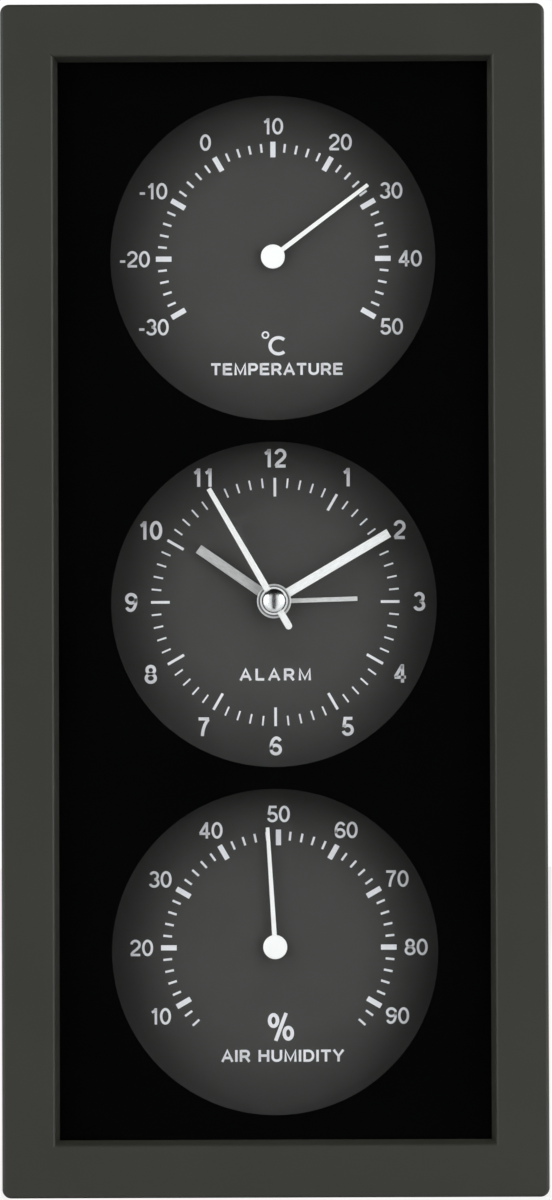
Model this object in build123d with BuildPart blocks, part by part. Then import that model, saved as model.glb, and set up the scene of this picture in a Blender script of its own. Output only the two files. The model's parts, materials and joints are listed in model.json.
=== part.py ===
"""Upright desk clock with a thermometer above the clock dial and a hygrometer below it.

Three round dials sit in wells behind one black-bordered pane, in a slim dark case. An alarm
movement runs the middle dial, and a wound strip turns the needle of each outer dial.
The model stands on its base: +Z is up, +X is to the right and the dials face -Y.
Places along the depth of the case are measured back from its front face, in millimetres.
"""

import os
from math import asin, cos, degrees, pi, radians, sin, tan

from build123d import *

os.makedirs("parts", exist_ok=True)

# Case
case_width = 90.0
case_height = 197.0
case_depth = 38.0
case_wall = 2.2
case_corner = 1.5
front_round = 0.6
bar_width = 8.65
bezel_depth = 2.4
bezel_slope = 0.8
bezel_chamfer = 0.35
clearance = 0.3
push_gap = 0.02
running_gap = 0.05

# Pane, its tape and its printed border
lens_overlap = 1.9
lens_thickness = 2.0
tape_thickness = 0.2
tape_width = 1.7
mask_thickness = 0.2
window_gap = 1.8
window_drop = 0.65
rib_thickness = 1.2

# Dials and the carrier that holds them
dial_count = 3
dial_row_drop = 0.1
well_margin = 9.45
dial_thickness = 0.6
carrier_thickness = 1.5
well_depth = 6.6
well_wall = 1.2
dial_gap = 0.2

# Moulded catches that hold the carrier, the dial base and the movement
catch_length = 10.0
catch_reach = 1.0
catch_arm = 1.3
stake_size = 1.6

# Rear cover
cover_thickness = 2.2
cover_gap = 0.25
cover_inset = 0.8
collar_wall = 1.2
collar_depth = 7.4
cover_fixing_x = 30.4
boss_width = 6.0
boss_height = 5.0
boss_depth = 16.0
cover_tab = 1.2
cover_tab_length = 10.0
cover_tab_reach = 1.1
vent_count = 7
vent_width = 2.0
vent_length = 22.0
vent_pitch = 5.0

# Movement module, with its place measured from the hand axis
module_size = 56.0
module_drop = 3.0
module_wall = 1.4
module_plate = 1.6
plate_ledge = 1.2
rear_wall = 1.5
bay_divider = 1.2
bush_radius = 3.8

# Gear train: layers of equal thickness, one gap apart, and the places of the arbors
wheel_face = 0.8
layer_gap = 0.3
train_plate = 1.0
magnet_length = 1.6
stator_thickness = 1.0
third_distance = 9.18
third_direction = 135.0
setting_distance = 10.0
setting_direction = 210.0
alarm_distance = 10.0
alarm_direction = 45.0
idler_distance = 7.2
idler_direction = -60.0
rotor_distance = 7.0
rotor_direction = 0.0

# Teeth on the wheels and leaves on the pinions
rotor_leaves = 6
idler_teeth = 36
idler_leaves = 6
second_teeth = 30
second_leaves = 6
third_teeth = 45
third_leaves = 6
centre_teeth = 48
minute_leaves = 8
setting_teeth = 24
setting_leaves = 6
hour_teeth = 24
alarm_leaves = 6
alarm_teeth = 24

# Tooth proportions, as shares of the module
addendum = 0.7
dedendum = 1.1
tooth_share = 0.4
tip_slope = 24.0

# Coaxial hand pipes, from the inside out
second_arbor_radius = 0.45
pipe_wall = 0.4
train_arbor_radius = 0.4
setting_arbor_radius = 0.8

# Hands: angles are clockwise from twelve, at nine minutes and fifty-five seconds past ten
hour_angle = 304.96
minute_angle = 59.5
second_angle = 330.0
alarm_angle = 88.3
hand_thickness = 0.3
hand_step = 0.9
hand_lift = 0.5
hour_length = 15.3
hour_width = 1.6
minute_tip_gap = 4.75
minute_width = 1.5
second_tip_gap = 5.35
second_width = 1.15
second_tip_width = 0.8
second_tail = 5.4
alarm_length = 13.9
alarm_width = 0.75
hand_hub_radius = 2.85
second_hub_radius = 2.3
cap_radius = 2.05
cap_height = 1.0

# Thermometer and hygrometer needles, and the wound strips that turn them
thermometer_angle = 53.0
hygrometer_angle = -3.5
needle_tip_gap = 7.05
needle_width = 0.8
needle_tip_width = 0.6
needle_hub_radius = 2.0
needle_hub_height = 0.7
needle_height = 1.5
spindle_radius = 0.5
bracket_span = 30.0
bracket_foot = 5.0
bracket_depth = 9.0
bracket_width = 8.0
bracket_thickness = 1.2
strip_thickness = 0.4
strip_width = 4.0
strip_pitch = 2.2
strip_turns = 4
strip_flats = 12
strip_post = 2.0

# Setting knobs and alarm switch on the rear
knob_gap = 0.4
knob_height = 4.8
time_knob_radius = 6.0
alarm_knob_radius = 5.0
knob_flutes = 16
knob_skin = 1.2
switch_x = 17.0
switch_z = -6.0
switch_stem_length = 3.0
switch_stem_width = 2.8
switch_button_length = 5.0
switch_button_width = 4.6
switch_button_height = 2.2
switch_foot = 0.7
switch_travel = 3.5

# Battery and its contacts
battery_radius = 7.25
battery_length = 50.5
battery_nub_radius = 2.75
battery_nub_length = 1.3
battery_gap = 0.15
contact_thickness = 0.4
contact_width = 9.0
contact_height = 11.0
contact_tab = 2.0

# Coil, circuit board and what it carries
stator_width = 6.0
stator_low = -12.7
stator_high = 5.0
stator_arm = 2.5
rotor_magnet_radius = 2.0
rotor_air_gap = 0.35
coil_x = 21.0
core_width = 3.0
bobbin_wall = 0.7
bobbin_flange = 0.8
bobbin_flange_margin = 1.7
winding_margin = 1.5
winding_corner = 0.8
board_thickness = 1.0
board_gap = 1.3
bridge_gap = 0.7
board_left = 9.5
board_low = -12.6
board_high = 22.0
buzzer_x = 19.5
buzzer_z = 14.5
buzzer_radius = 5.5
buzzer_height = 5.0
crystal_radius = 1.0
crystal_length = 6.2
crystal_x = 18.6
crystal_z = 6.4
post_size = 2.4
pillar_size = 3.2
train_pillars = [(-14.3, 14.3), (15.5, -8.3)]
train_outline = [
    (-17.5, 17.0), (-17.5, 10.5), (-4.0, -5.5), (-1.5, -12.7),
    (17.5, -12.7), (17.5, -5.5), (3.5, 5.0), (-10.5, 17.0),
]
stator_pillar = (11.5, 3.2)
alarm_post = (14.0, -1.0)
alarm_leaf_reach = 7.5
alarm_leaf_width = 1.6
alarm_leaf_thickness = 0.2

# Sizes that follow from those above
inner_width = case_width - 2 * case_wall
inner_height = case_height - 2 * case_wall
dial_pitch = (inner_height - 2 * well_margin - well_wall) / dial_count
dial_row_height = case_height / 2 - dial_row_drop
window_radius = dial_pitch / 2 - window_gap
minute_length = window_radius - minute_tip_gap
second_length = window_radius - second_tip_gap
needle_length = window_radius - needle_tip_gap
case_centre = (0.0, case_height / 2)
clock_centre = (0.0, dial_row_height)
thermometer_centre = (0.0, dial_row_height + dial_pitch)
hygrometer_centre = (0.0, dial_row_height - dial_pitch)
dial_centres = [thermometer_centre, clock_centre, hygrometer_centre]
opening_width = case_width - 2 * bar_width
opening_height = case_height - 2 * bar_width
view_width = opening_width - 2 * bezel_slope
view_height = opening_height - 2 * bezel_slope
lens_width = view_width + 2 * lens_overlap
lens_height = view_height + 2 * lens_overlap
rib_width = lens_width + 2 * clearance
rib_height = lens_height + 2 * clearance
pad_width = inner_width / 2 - rib_width / 2 - rib_thickness
carrier_width = inner_width - 2 * clearance
carrier_height = inner_height - 2 * clearance
dial_size = dial_pitch - dial_gap
well_size = dial_pitch - well_wall
carrier_block = dial_pitch + well_wall
plate_size = module_size + 2 * plate_ledge

# Depths of the faces, one after the other from the front
lens_front = bezel_depth + tape_thickness
lens_back = lens_front + lens_thickness
carrier_front = lens_back + mask_thickness
carrier_back = carrier_front + carrier_thickness
dial_front = carrier_front + well_depth
dial_back = dial_front + dial_thickness
floor_back = dial_back + carrier_thickness
plate_back = floor_back + module_plate
layer_step = wheel_face + layer_gap
alarm_layer = plate_back + layer_gap
hour_layer = alarm_layer + layer_step
minute_layer = hour_layer + layer_step
centre_layer = minute_layer + layer_step
third_layer = centre_layer + layer_step
middle_front = third_layer + layer_step
middle_back = middle_front + train_plate
second_layer = middle_back + layer_gap
idler_layer = second_layer + layer_step
magnet_front = idler_layer + layer_step
magnet_back = magnet_front + magnet_length
stator_front = magnet_front + (magnet_length - stator_thickness) / 2
stator_back = stator_front + stator_thickness
core_front = stator_front - stator_thickness
bridge_front = magnet_back + layer_gap
bridge_back = bridge_front + train_plate
board_front = bridge_back + bridge_gap
board_back = board_front + board_thickness
rear_wall_front = board_back + board_gap
module_back = rear_wall_front + rear_wall
cover_back = case_depth - cover_inset
cover_front = cover_back - cover_thickness
collar_front = case_depth - collar_depth
knob_front = module_back + knob_gap
knob_back = knob_front + knob_height

# Hand levels, from the dial forward
alarm_hand_back = dial_front - hand_lift
hour_hand_back = alarm_hand_back - hand_step
minute_hand_back = hour_hand_back - hand_step
second_hand_back = minute_hand_back - hand_step

# Pipe radii
minute_bore = second_arbor_radius + running_gap
minute_pipe_radius = minute_bore + pipe_wall
hour_bore = minute_pipe_radius + running_gap
hour_pipe_radius = hour_bore + pipe_wall
alarm_bore = hour_pipe_radius + running_gap
alarm_pipe_radius = alarm_bore + pipe_wall


def from_axis(distance, direction, start=(0.0, 0.0)):
    """Point at a distance and a direction (degrees, from +X towards +Z) from another point."""
    return (
        start[0] + distance * cos(radians(direction)),
        start[1] + distance * sin(radians(direction)),
    )


# Places of the arbors and the module, first from the hand axis, then in the case
third_offset = from_axis(third_distance, third_direction)
setting_offset = from_axis(setting_distance, setting_direction)
alarm_offset = from_axis(alarm_distance, alarm_direction)
idler_offset = from_axis(idler_distance, idler_direction)
rotor_offset = from_axis(rotor_distance, rotor_direction, idler_offset)


def on_clock(offset):
    """A place given from the hand axis, as X and Z in the case."""
    return (offset[0], dial_row_height + offset[1])


third_centre = on_clock(third_offset)
setting_centre = on_clock(setting_offset)
alarm_centre = on_clock(alarm_offset)
idler_centre = on_clock(idler_offset)
rotor_centre = on_clock(rotor_offset)
module_centre = on_clock((0.0, -module_drop))
module_low = -module_drop - module_size / 2
module_high = -module_drop + module_size / 2
chamber_width = module_size - 2 * module_wall
battery_z = module_low + module_wall + clearance + battery_radius
bay_low = module_low + module_wall
bay_high = battery_z + battery_radius + clearance
chamber_low = bay_high + bay_divider
chamber_high = module_high - module_wall
battery_depth = plate_back + clearance + battery_radius
contact_x = chamber_width / 2 - contact_thickness
battery_tip = contact_x - battery_gap
battery_end = battery_tip - battery_length
tab_front = board_front - contact_tab / 4


def layer(depth, centre=(0.0, 0.0), angle=0.0):
    """Plane across the case, facing the front; its own Y axis points at a clock angle."""
    turn = radians(angle)
    return Plane(
        origin=(centre[0], depth - case_depth / 2, centre[1]),
        x_dir=(cos(turn), 0, -sin(turn)),
        z_dir=(0, -1, 0),
    )


def round_step(centre, front, back, radius, mode=Mode.ADD):
    """A round stretch of a shaft, boss or hole between two depths."""
    with BuildSketch(layer(back, centre)) as section:
        Circle(radius)
    extrude(section.sketch, amount=back - front, mode=mode)


def block(low, high, front, back, mode=Mode.ADD):
    """A square-edged stretch between two corners, given from the hand axis, and two depths."""
    middle = ((low[0] + high[0]) / 2, (low[1] + high[1]) / 2)
    with BuildSketch(layer(back, on_clock(middle))) as section:
        Rectangle(high[0] - low[0], high[1] - low[1])
    extrude(section.sketch, amount=back - front, mode=mode)


def pillar(place, front, back, size):
    """A square moulded pillar at a place given from the hand axis."""
    with BuildSketch(layer(back, on_clock(place))) as section:
        Rectangle(size, size)
    extrude(section.sketch, amount=back - front)


def across(height, centre_x, depth):
    """Plane facing up at a height above the hand axis; its own Y axis points to the rear."""
    return Plane(
        origin=(centre_x, depth - case_depth / 2, dial_row_height + height),
        x_dir=(1, 0, 0),
        z_dir=(0, 0, 1),
    )


def catch(side, wall_x, height, front):
    """A moulded catch on a side wall, flat towards the front and sloped behind."""
    corners = [
        (side * wall_x, 0),
        (side * wall_x, 2 * catch_reach),
        (side * (wall_x - catch_reach), catch_reach),
        (side * (wall_x - catch_reach), 0),
    ]
    with BuildSketch(across(height - catch_length / 2, 0.0, front)) as section:
        Polygon(*corners[::side], align=None)
    extrude(section.sketch, amount=catch_length)


def gear_module(distance, teeth, leaves):
    """Tooth module of a pair that meshes at a centre distance."""
    return 2 * distance / (teeth + leaves)


def tooth_outline(teeth, module, phase):
    """Corners of a gear with straight flanks, one tooth standing at the phase angle."""
    pitch_radius = teeth * module / 2
    tip_radius = pitch_radius + addendum * module
    root_radius = pitch_radius - dedendum * module
    root_half = tooth_share * pi * module / 2
    tip_half = root_half - addendum * module * tan(radians(tip_slope))
    corners = []
    for tooth in range(teeth):
        middle = radians(phase) + 2 * pi * tooth / teeth
        for radius, half in (
            (root_radius, -root_half),
            (tip_radius, -tip_half),
            (tip_radius, tip_half),
            (root_radius, root_half),
        ):
            angle = middle + asin(half / radius)
            corners.append((radius * cos(angle), radius * sin(angle)))
    return corners


def toothed_disc(centre, front, teeth, module, phase, thickness=wheel_face):
    """One wheel, or a pinion that may reach back to the wheel it is moulded with."""
    with BuildSketch(layer(front + thickness, centre)) as section:
        Polygon(*tooth_outline(teeth, module, phase), align=None)
    extrude(section.sketch, amount=thickness)


def space_phase(direction, teeth):
    """Phase that leaves a tooth space facing back along a direction."""
    return direction + 180.0 + 180.0 / teeth


# Front frame: a deep moulded surround with a sloped bezel, a rib round the pane, catches and bosses
rib_back = lens_back - clearance
tab_height = case_height - case_wall
with BuildPart() as front_frame:
    with BuildSketch(layer(case_depth, case_centre)):
        RectangleRounded(case_width, case_height, case_corner)
    extrude(amount=case_depth)
    fillet(front_frame.faces().sort_by(Axis.Y)[0].edges(), front_round)
    with BuildSketch(layer(case_depth, case_centre)):
        Rectangle(inner_width, inner_height)
    extrude(amount=case_depth - bezel_depth, mode=Mode.SUBTRACT)
    with BuildSketch(layer(bezel_depth, case_centre)):
        Rectangle(view_width, view_height)
    with BuildSketch(layer(0, case_centre)):
        Rectangle(opening_width, opening_height)
    loft(mode=Mode.SUBTRACT)
    chamfer(front_frame.faces().sort_by(Axis.Y)[0].inner_wires()[0].edges(), bezel_chamfer)
    with BuildSketch(layer(rib_back, case_centre)):
        Rectangle(rib_width + 2 * rib_thickness, rib_height + 2 * rib_thickness)
        Rectangle(rib_width, rib_height, mode=Mode.SUBTRACT)
    extrude(amount=rib_back - bezel_depth)
    with BuildSketch(layer(carrier_front, clock_centre)):
        with GridLocations(inner_width - pad_width, 2 * dial_pitch, 2, 2):
            Rectangle(pad_width, catch_length)
    extrude(amount=carrier_front - bezel_depth)
    for side in (-1, 1):
        for row in (-dial_pitch, dial_pitch):
            catch(side, inner_width / 2, row, carrier_back + push_gap)
    with BuildSketch(layer(cover_front, (0.0, case_wall + boss_height / 2))):
        with GridLocations(2 * cover_fixing_x, 0, 2, 1):
            Rectangle(boss_width, boss_height)
    extrude(amount=boss_depth)
    with BuildSketch(layer(cover_front + cover_tab + clearance, (0.0, tab_height))):
        with GridLocations(2 * cover_fixing_x, 0, 2, 1):
            Rectangle(cover_tab_length + 2 * clearance, 2 * (cover_tab_reach + cover_gap))
    extrude(amount=cover_tab + clearance + push_gap, mode=Mode.SUBTRACT)

# Pane with its printed black border, on a ring of adhesive tape
with BuildPart() as lens_tape:
    with BuildSketch(layer(lens_front, case_centre)):
        Rectangle(lens_width, lens_height)
        Rectangle(lens_width - 2 * tape_width, lens_height - 2 * tape_width, mode=Mode.SUBTRACT)
    extrude(amount=tape_thickness)

with BuildPart() as front_lens:
    with BuildSketch(layer(lens_back, case_centre)):
        Rectangle(lens_width, lens_height)
    extrude(amount=lens_thickness)

with BuildPart() as window_mask:
    with BuildSketch(layer(carrier_front, case_centre)):
        Rectangle(lens_width, lens_height)
    extrude(amount=mask_thickness)
    with BuildSketch(layer(carrier_front, (0.0, -window_drop))):
        with Locations(*dial_centres):
            Circle(window_radius)
    extrude(amount=mask_thickness, mode=Mode.SUBTRACT)

# Dial carrier: a plate with three wells behind the windows, and arms that catch the dial base
sensor_centres = [thermometer_centre, hygrometer_centre]
arm_front = floor_back + push_gap
arm_back = arm_front + 2 * catch_reach
with BuildPart() as dial_carrier:
    with BuildSketch(layer(carrier_back, case_centre)):
        Rectangle(carrier_width, carrier_height)
    extrude(amount=carrier_thickness)
    with BuildSketch(layer(dial_front, clock_centre)):
        Rectangle(carrier_block, 2 * dial_pitch + carrier_block)
    extrude(amount=dial_front - carrier_back)
    with BuildSketch(layer(dial_front)):
        with Locations(*dial_centres):
            Rectangle(well_size, well_size)
    extrude(amount=well_depth, mode=Mode.SUBTRACT)
    with BuildSketch(layer(arm_back, clock_centre)):
        with GridLocations(carrier_block + catch_arm, 2 * dial_pitch, 2, 2):
            Rectangle(catch_arm, catch_length)
    extrude(amount=arm_back - carrier_back)
    for side in (-1, 1):
        for row in (-dial_pitch, dial_pitch):
            catch(side, carrier_block / 2, row, arm_front)

# Dial base: the plate behind the dials, holed for the hands and spindles, with arms that catch the movement
base_width = carrier_block - 2 * push_gap
clip_x = plate_size / 2 + clearance / 2
clip_front = plate_back + push_gap
clip_back = clip_front + 2 * catch_reach
stake_x = bracket_span / 2 + bracket_foot / 2
with BuildPart() as dial_base:
    with BuildSketch(layer(floor_back, clock_centre)):
        Rectangle(base_width, 2 * dial_pitch + base_width)
        Rectangle(2 * (clip_x + catch_arm), catch_length)
    extrude(amount=carrier_thickness)
    with BuildSketch(layer(clip_back, clock_centre)):
        with GridLocations(2 * clip_x + catch_arm, 0, 2, 1):
            Rectangle(catch_arm, catch_length)
    extrude(amount=clip_back - floor_back)
    for side in (-1, 1):
        catch(side, clip_x, 0.0, clip_front)
    round_step(clock_centre, dial_back, floor_back, bush_radius + running_gap, Mode.SUBTRACT)
    for sensor_centre in sensor_centres:
        round_step(sensor_centre, dial_back, floor_back, spindle_radius + running_gap, Mode.SUBTRACT)
        with BuildSketch(layer(floor_back + bracket_thickness, sensor_centre)):
            with GridLocations(2 * stake_x, 0, 2, 1):
                Rectangle(stake_size, stake_size)
        extrude(amount=bracket_thickness)


def build_dial(centre, hole_radius):
    """A thin printed plate, held between the back of its well and the dial base."""
    with BuildPart() as dial:
        with BuildSketch(layer(dial_back, centre)):
            Rectangle(dial_size, dial_size)
            Circle(hole_radius, mode=Mode.SUBTRACT)
        extrude(amount=dial_thickness)
    return dial


thermometer_dial = build_dial(thermometer_centre, spindle_radius + clearance)
clock_dial = build_dial(clock_centre, alarm_pipe_radius + clearance)
hygrometer_dial = build_dial(hygrometer_centre, spindle_radius + clearance)


def build_hand(back, angle, length, width, tip_width, hub_radius, bore, tail=0.0):
    """A flat hand with a round eye, pointing at a clock angle."""
    with BuildPart() as hand:
        with BuildSketch(layer(back, clock_centre, angle)):
            Circle(hub_radius)
            Polygon(
                (-width / 2, 0),
                (width / 2, 0),
                (tip_width / 2, length),
                (-tip_width / 2, length),
                align=None,
            )
            if tail:
                with Locations((0, -tail / 2)):
                    SlotOverall(tail, width, rotation=90)
            Circle(bore, mode=Mode.SUBTRACT)
        extrude(amount=hand_thickness)
    return hand


alarm_hand = build_hand(
    alarm_hand_back, alarm_angle, alarm_length, alarm_width, alarm_width,
    hand_hub_radius, alarm_pipe_radius + push_gap,
)
hour_hand = build_hand(
    hour_hand_back, hour_angle, hour_length, hour_width, hour_width,
    hand_hub_radius, hour_pipe_radius + push_gap,
)
minute_hand = build_hand(
    minute_hand_back, minute_angle, minute_length, minute_width, minute_width,
    hand_hub_radius, minute_pipe_radius + push_gap,
)
second_hand = build_hand(
    second_hand_back, second_angle, second_length, second_width, second_tip_width,
    second_hub_radius, second_arbor_radius + push_gap, second_tail,
)

# Domed cap over the eye of the second hand
cap_back = second_hand_back - hand_thickness
cap_arc_radius = (cap_radius**2 + cap_height**2) / (2 * cap_height)
cap_arc_angle = degrees(asin(cap_radius / cap_arc_radius))
cap_plane = Plane(
    origin=(clock_centre[0], cap_back - case_depth / 2, clock_centre[1]), x_dir=(1, 0, 0), z_dir=(0, 0, 1)
)
cap_axis = Axis((clock_centre[0], cap_back - case_depth / 2, clock_centre[1]), (0, 1, 0))
with BuildPart() as second_hand_cap:
    with BuildSketch(cap_plane):
        with BuildLine():
            Line((0, 0), (cap_radius, 0))
            CenterArc((0, cap_arc_radius - cap_height), cap_arc_radius, -90.0, cap_arc_angle)
            Line((0, -cap_height), (0, 0))
        make_face()
    revolve(axis=cap_axis)

# Wheels on the hand axis
second_module = gear_module(third_distance, third_teeth, second_leaves)
second_wheel_module = gear_module(idler_distance, second_teeth, idler_leaves)
with BuildPart() as second_wheel:
    round_step(clock_centre, second_hand_back - hand_thickness, bridge_back, second_arbor_radius)
    toothed_disc(clock_centre, third_layer, second_leaves, second_module, third_direction)
    toothed_disc(clock_centre, second_layer, second_teeth, second_wheel_module, idler_direction)

centre_hub_radius = minute_pipe_radius + pipe_wall
minute_pipe_front = minute_hand_back - hand_thickness
minute_pipe_back = centre_layer + wheel_face
minute_module = gear_module(setting_distance, setting_teeth, minute_leaves)
with BuildPart() as minute_pipe:
    round_step(clock_centre, minute_pipe_front, minute_layer, minute_pipe_radius)
    toothed_disc(clock_centre, minute_layer, minute_leaves, minute_module, setting_direction)
    round_step(clock_centre, minute_layer + wheel_face, minute_pipe_back, centre_hub_radius)
    round_step(clock_centre, minute_pipe_front, minute_pipe_back, minute_bore, Mode.SUBTRACT)

# The centre wheel grips the hub of the minute pipe, which slips in it when the hands are set
centre_bore = centre_hub_radius + running_gap
centre_module = gear_module(third_distance, centre_teeth, third_leaves)
with BuildPart() as centre_wheel:
    toothed_disc(clock_centre, centre_layer, centre_teeth, centre_module, third_direction)
    round_step(clock_centre, centre_layer, minute_pipe_back, centre_bore, Mode.SUBTRACT)

hour_module = gear_module(setting_distance, hour_teeth, setting_leaves)
with BuildPart() as hour_wheel:
    round_step(clock_centre, hour_hand_back - hand_thickness, hour_layer, hour_pipe_radius)
    toothed_disc(clock_centre, hour_layer, hour_teeth, hour_module, setting_direction)
    round_step(
        clock_centre, hour_hand_back - hand_thickness, hour_layer + wheel_face, hour_bore, Mode.SUBTRACT
    )

alarm_module = gear_module(alarm_distance, alarm_teeth, alarm_leaves)
with BuildPart() as alarm_wheel:
    round_step(clock_centre, alarm_hand_back - hand_thickness, alarm_layer, alarm_pipe_radius)
    toothed_disc(clock_centre, alarm_layer, alarm_teeth, alarm_module, alarm_direction)
    round_step(
        clock_centre, alarm_hand_back - hand_thickness, alarm_layer + wheel_face, alarm_bore, Mode.SUBTRACT
    )

# Wheels beside the hand axis
arbor_front = floor_back + running_gap
third_pinion_phase = space_phase(third_direction, third_leaves)
third_wheel_phase = space_phase(third_direction, third_teeth)
with BuildPart() as third_wheel:
    round_step(third_centre, arbor_front, middle_back, train_arbor_radius)
    toothed_disc(third_centre, centre_layer, third_leaves, centre_module, third_pinion_phase, layer_step)
    toothed_disc(third_centre, third_layer, third_teeth, second_module, third_wheel_phase)

idler_module = gear_module(rotor_distance, idler_teeth, rotor_leaves)
idler_pinion_phase = space_phase(idler_direction, idler_leaves)
with BuildPart() as intermediate_wheel:
    round_step(idler_centre, middle_front, bridge_back, train_arbor_radius)
    toothed_disc(
        idler_centre, second_layer, idler_leaves, second_wheel_module, idler_pinion_phase, layer_step
    )
    toothed_disc(idler_centre, idler_layer, idler_teeth, idler_module, rotor_direction)

rotor_phase = space_phase(rotor_direction, rotor_leaves)
with BuildPart() as rotor:
    round_step(rotor_centre, middle_front, bridge_back, train_arbor_radius)
    toothed_disc(rotor_centre, idler_layer, rotor_leaves, idler_module, rotor_phase)

with BuildPart() as rotor_magnet:
    round_step(rotor_centre, magnet_front, magnet_back, rotor_magnet_radius)
    round_step(rotor_centre, magnet_front, magnet_back, train_arbor_radius + push_gap, Mode.SUBTRACT)

setting_pinion_phase = space_phase(setting_direction, setting_leaves)
setting_wheel_phase = space_phase(setting_direction, setting_teeth)
alarm_pinion_phase = space_phase(alarm_direction, alarm_leaves)
arbor_end = knob_back - knob_skin
with BuildPart() as setting_wheel:
    round_step(setting_centre, arbor_front, arbor_end, setting_arbor_radius)
    toothed_disc(setting_centre, hour_layer, setting_leaves, hour_module, setting_pinion_phase, layer_step)
    toothed_disc(setting_centre, minute_layer, setting_teeth, minute_module, setting_wheel_phase)

with BuildPart() as alarm_setting_pinion:
    round_step(alarm_centre, arbor_front, arbor_end, setting_arbor_radius)
    toothed_disc(alarm_centre, alarm_layer, alarm_leaves, alarm_module, alarm_pinion_phase)


def build_knob(centre, radius):
    """A fluted knob, pressed on the end of its arbor."""
    flute = 2 * radius / (knob_flutes + 2 * addendum)
    with BuildPart() as knob:
        with BuildSketch(layer(knob_back, centre)):
            Polygon(*tooth_outline(knob_flutes, flute, 0.0), align=None)
        extrude(amount=knob_height)
        round_step(centre, knob_front, arbor_end, setting_arbor_radius + push_gap, Mode.SUBTRACT)
    return knob


time_set_knob = build_knob(setting_centre, time_knob_radius)
alarm_set_knob = build_knob(alarm_centre, alarm_knob_radius)

# Movement front plate: the bush through the dial, the bearings and the pillars of the train
pivot_places = [setting_centre, alarm_centre]
with BuildPart() as movement_front_plate:
    with BuildSketch(layer(plate_back, module_centre)):
        Rectangle(plate_size, plate_size)
    extrude(amount=module_plate)
    round_step(clock_centre, dial_back, floor_back, bush_radius)
    for place in train_pillars:
        pillar(place, plate_back, middle_front, pillar_size)
    pillar(stator_pillar, plate_back, stator_front, post_size)
    pillar(alarm_post, plate_back, minute_layer, post_size)
    round_step(clock_centre, dial_back, plate_back, alarm_pipe_radius + running_gap, Mode.SUBTRACT)
    round_step(third_centre, floor_back, plate_back, train_arbor_radius + running_gap, Mode.SUBTRACT)
    for pivot_place in pivot_places:
        round_step(pivot_place, floor_back, plate_back, setting_arbor_radius + running_gap, Mode.SUBTRACT)

# Middle plate and bridge: they hold the pivots of the train, stacked on the pillars
stator_x = rotor_offset[0]
stator_foot = (stator_x, stator_low + stator_arm / 2)
with BuildPart() as middle_plate:
    with BuildSketch(layer(middle_back, clock_centre)):
        Polygon(*train_outline, align=None)
    extrude(amount=train_plate)
    for place in train_pillars:
        pillar(place, middle_back, bridge_front, pillar_size)
    pillar(stator_foot, middle_back, stator_front, post_size)
    round_step(clock_centre, middle_front, middle_back, second_arbor_radius + running_gap, Mode.SUBTRACT)
    for pivot_place in (third_centre, idler_centre, rotor_centre):
        round_step(pivot_place, middle_front, middle_back, train_arbor_radius + running_gap, Mode.SUBTRACT)

with BuildPart() as train_bridge:
    with BuildSketch(layer(bridge_back, clock_centre)):
        Polygon(*train_outline, align=None)
    extrude(amount=train_plate)
    pillar(train_pillars[1], bridge_back, board_front, pillar_size)
    round_step(clock_centre, bridge_front, bridge_back, second_arbor_radius + running_gap, Mode.SUBTRACT)
    for pivot_place in (idler_centre, rotor_centre):
        round_step(pivot_place, bridge_front, bridge_back, train_arbor_radius + running_gap, Mode.SUBTRACT)

# Stepping motor: a stator round the rotor, and a wound core across the ends of its arms
arm_reach = coil_x + core_width / 2
with BuildPart() as stator:
    block((stator_x - stator_width / 2, stator_low), (arm_reach, stator_high), stator_front, stator_back)
    block(
        (stator_x + stator_width / 2, stator_low + stator_arm), (arm_reach, stator_high - stator_arm),
        stator_front, stator_back, Mode.SUBTRACT,
    )
    round_step(rotor_centre, stator_front, stator_back, rotor_magnet_radius + rotor_air_gap, Mode.SUBTRACT)

core_low = (coil_x - core_width / 2, stator_low)
core_high = (coil_x + core_width / 2, stator_high)
with BuildPart() as coil_core:
    block(core_low, core_high, core_front, stator_front)

bobbin_low = stator_low + stator_arm + clearance
bobbin_high = stator_high - stator_arm - clearance
core_middle = (core_front + stator_front) / 2
with BuildPart() as coil_bobbin:
    with BuildSketch(across(bobbin_low, coil_x, core_middle)):
        Rectangle(core_width + 2 * bobbin_wall, stator_thickness + 2 * bobbin_wall)
    extrude(amount=bobbin_high - bobbin_low)
    for flange_low in (bobbin_low, bobbin_high - bobbin_flange):
        with BuildSketch(across(flange_low, coil_x, core_middle)):
            Rectangle(core_width + 2 * bobbin_flange_margin, stator_thickness + 2 * bobbin_flange_margin)
        extrude(amount=bobbin_flange)
    with BuildSketch(across(bobbin_low, coil_x, core_middle)):
        Rectangle(core_width + 2 * push_gap, stator_thickness + 2 * push_gap)
    extrude(amount=bobbin_high - bobbin_low, mode=Mode.SUBTRACT)

inside_wall = bobbin_wall + push_gap
with BuildPart() as coil_winding:
    with BuildSketch(across(bobbin_low + bobbin_flange, coil_x, core_middle)):
        RectangleRounded(
            core_width + 2 * winding_margin, stator_thickness + 2 * winding_margin, winding_corner
        )
        Rectangle(core_width + 2 * inside_wall, stator_thickness + 2 * inside_wall, mode=Mode.SUBTRACT)
    extrude(amount=bobbin_high - bobbin_low - 2 * bobbin_flange)

# Circuit board with its crystal and buzzer
board_right = chamber_width / 2 - contact_thickness - push_gap
with BuildPart() as circuit_board:
    block((board_left, board_low), (board_right, board_high), board_front, board_back)

buzzer_front = board_front - buzzer_height
buzzer_centre = on_clock((buzzer_x, buzzer_z))
with BuildPart() as buzzer:
    round_step(buzzer_centre, buzzer_front, board_front, buzzer_radius)

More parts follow.
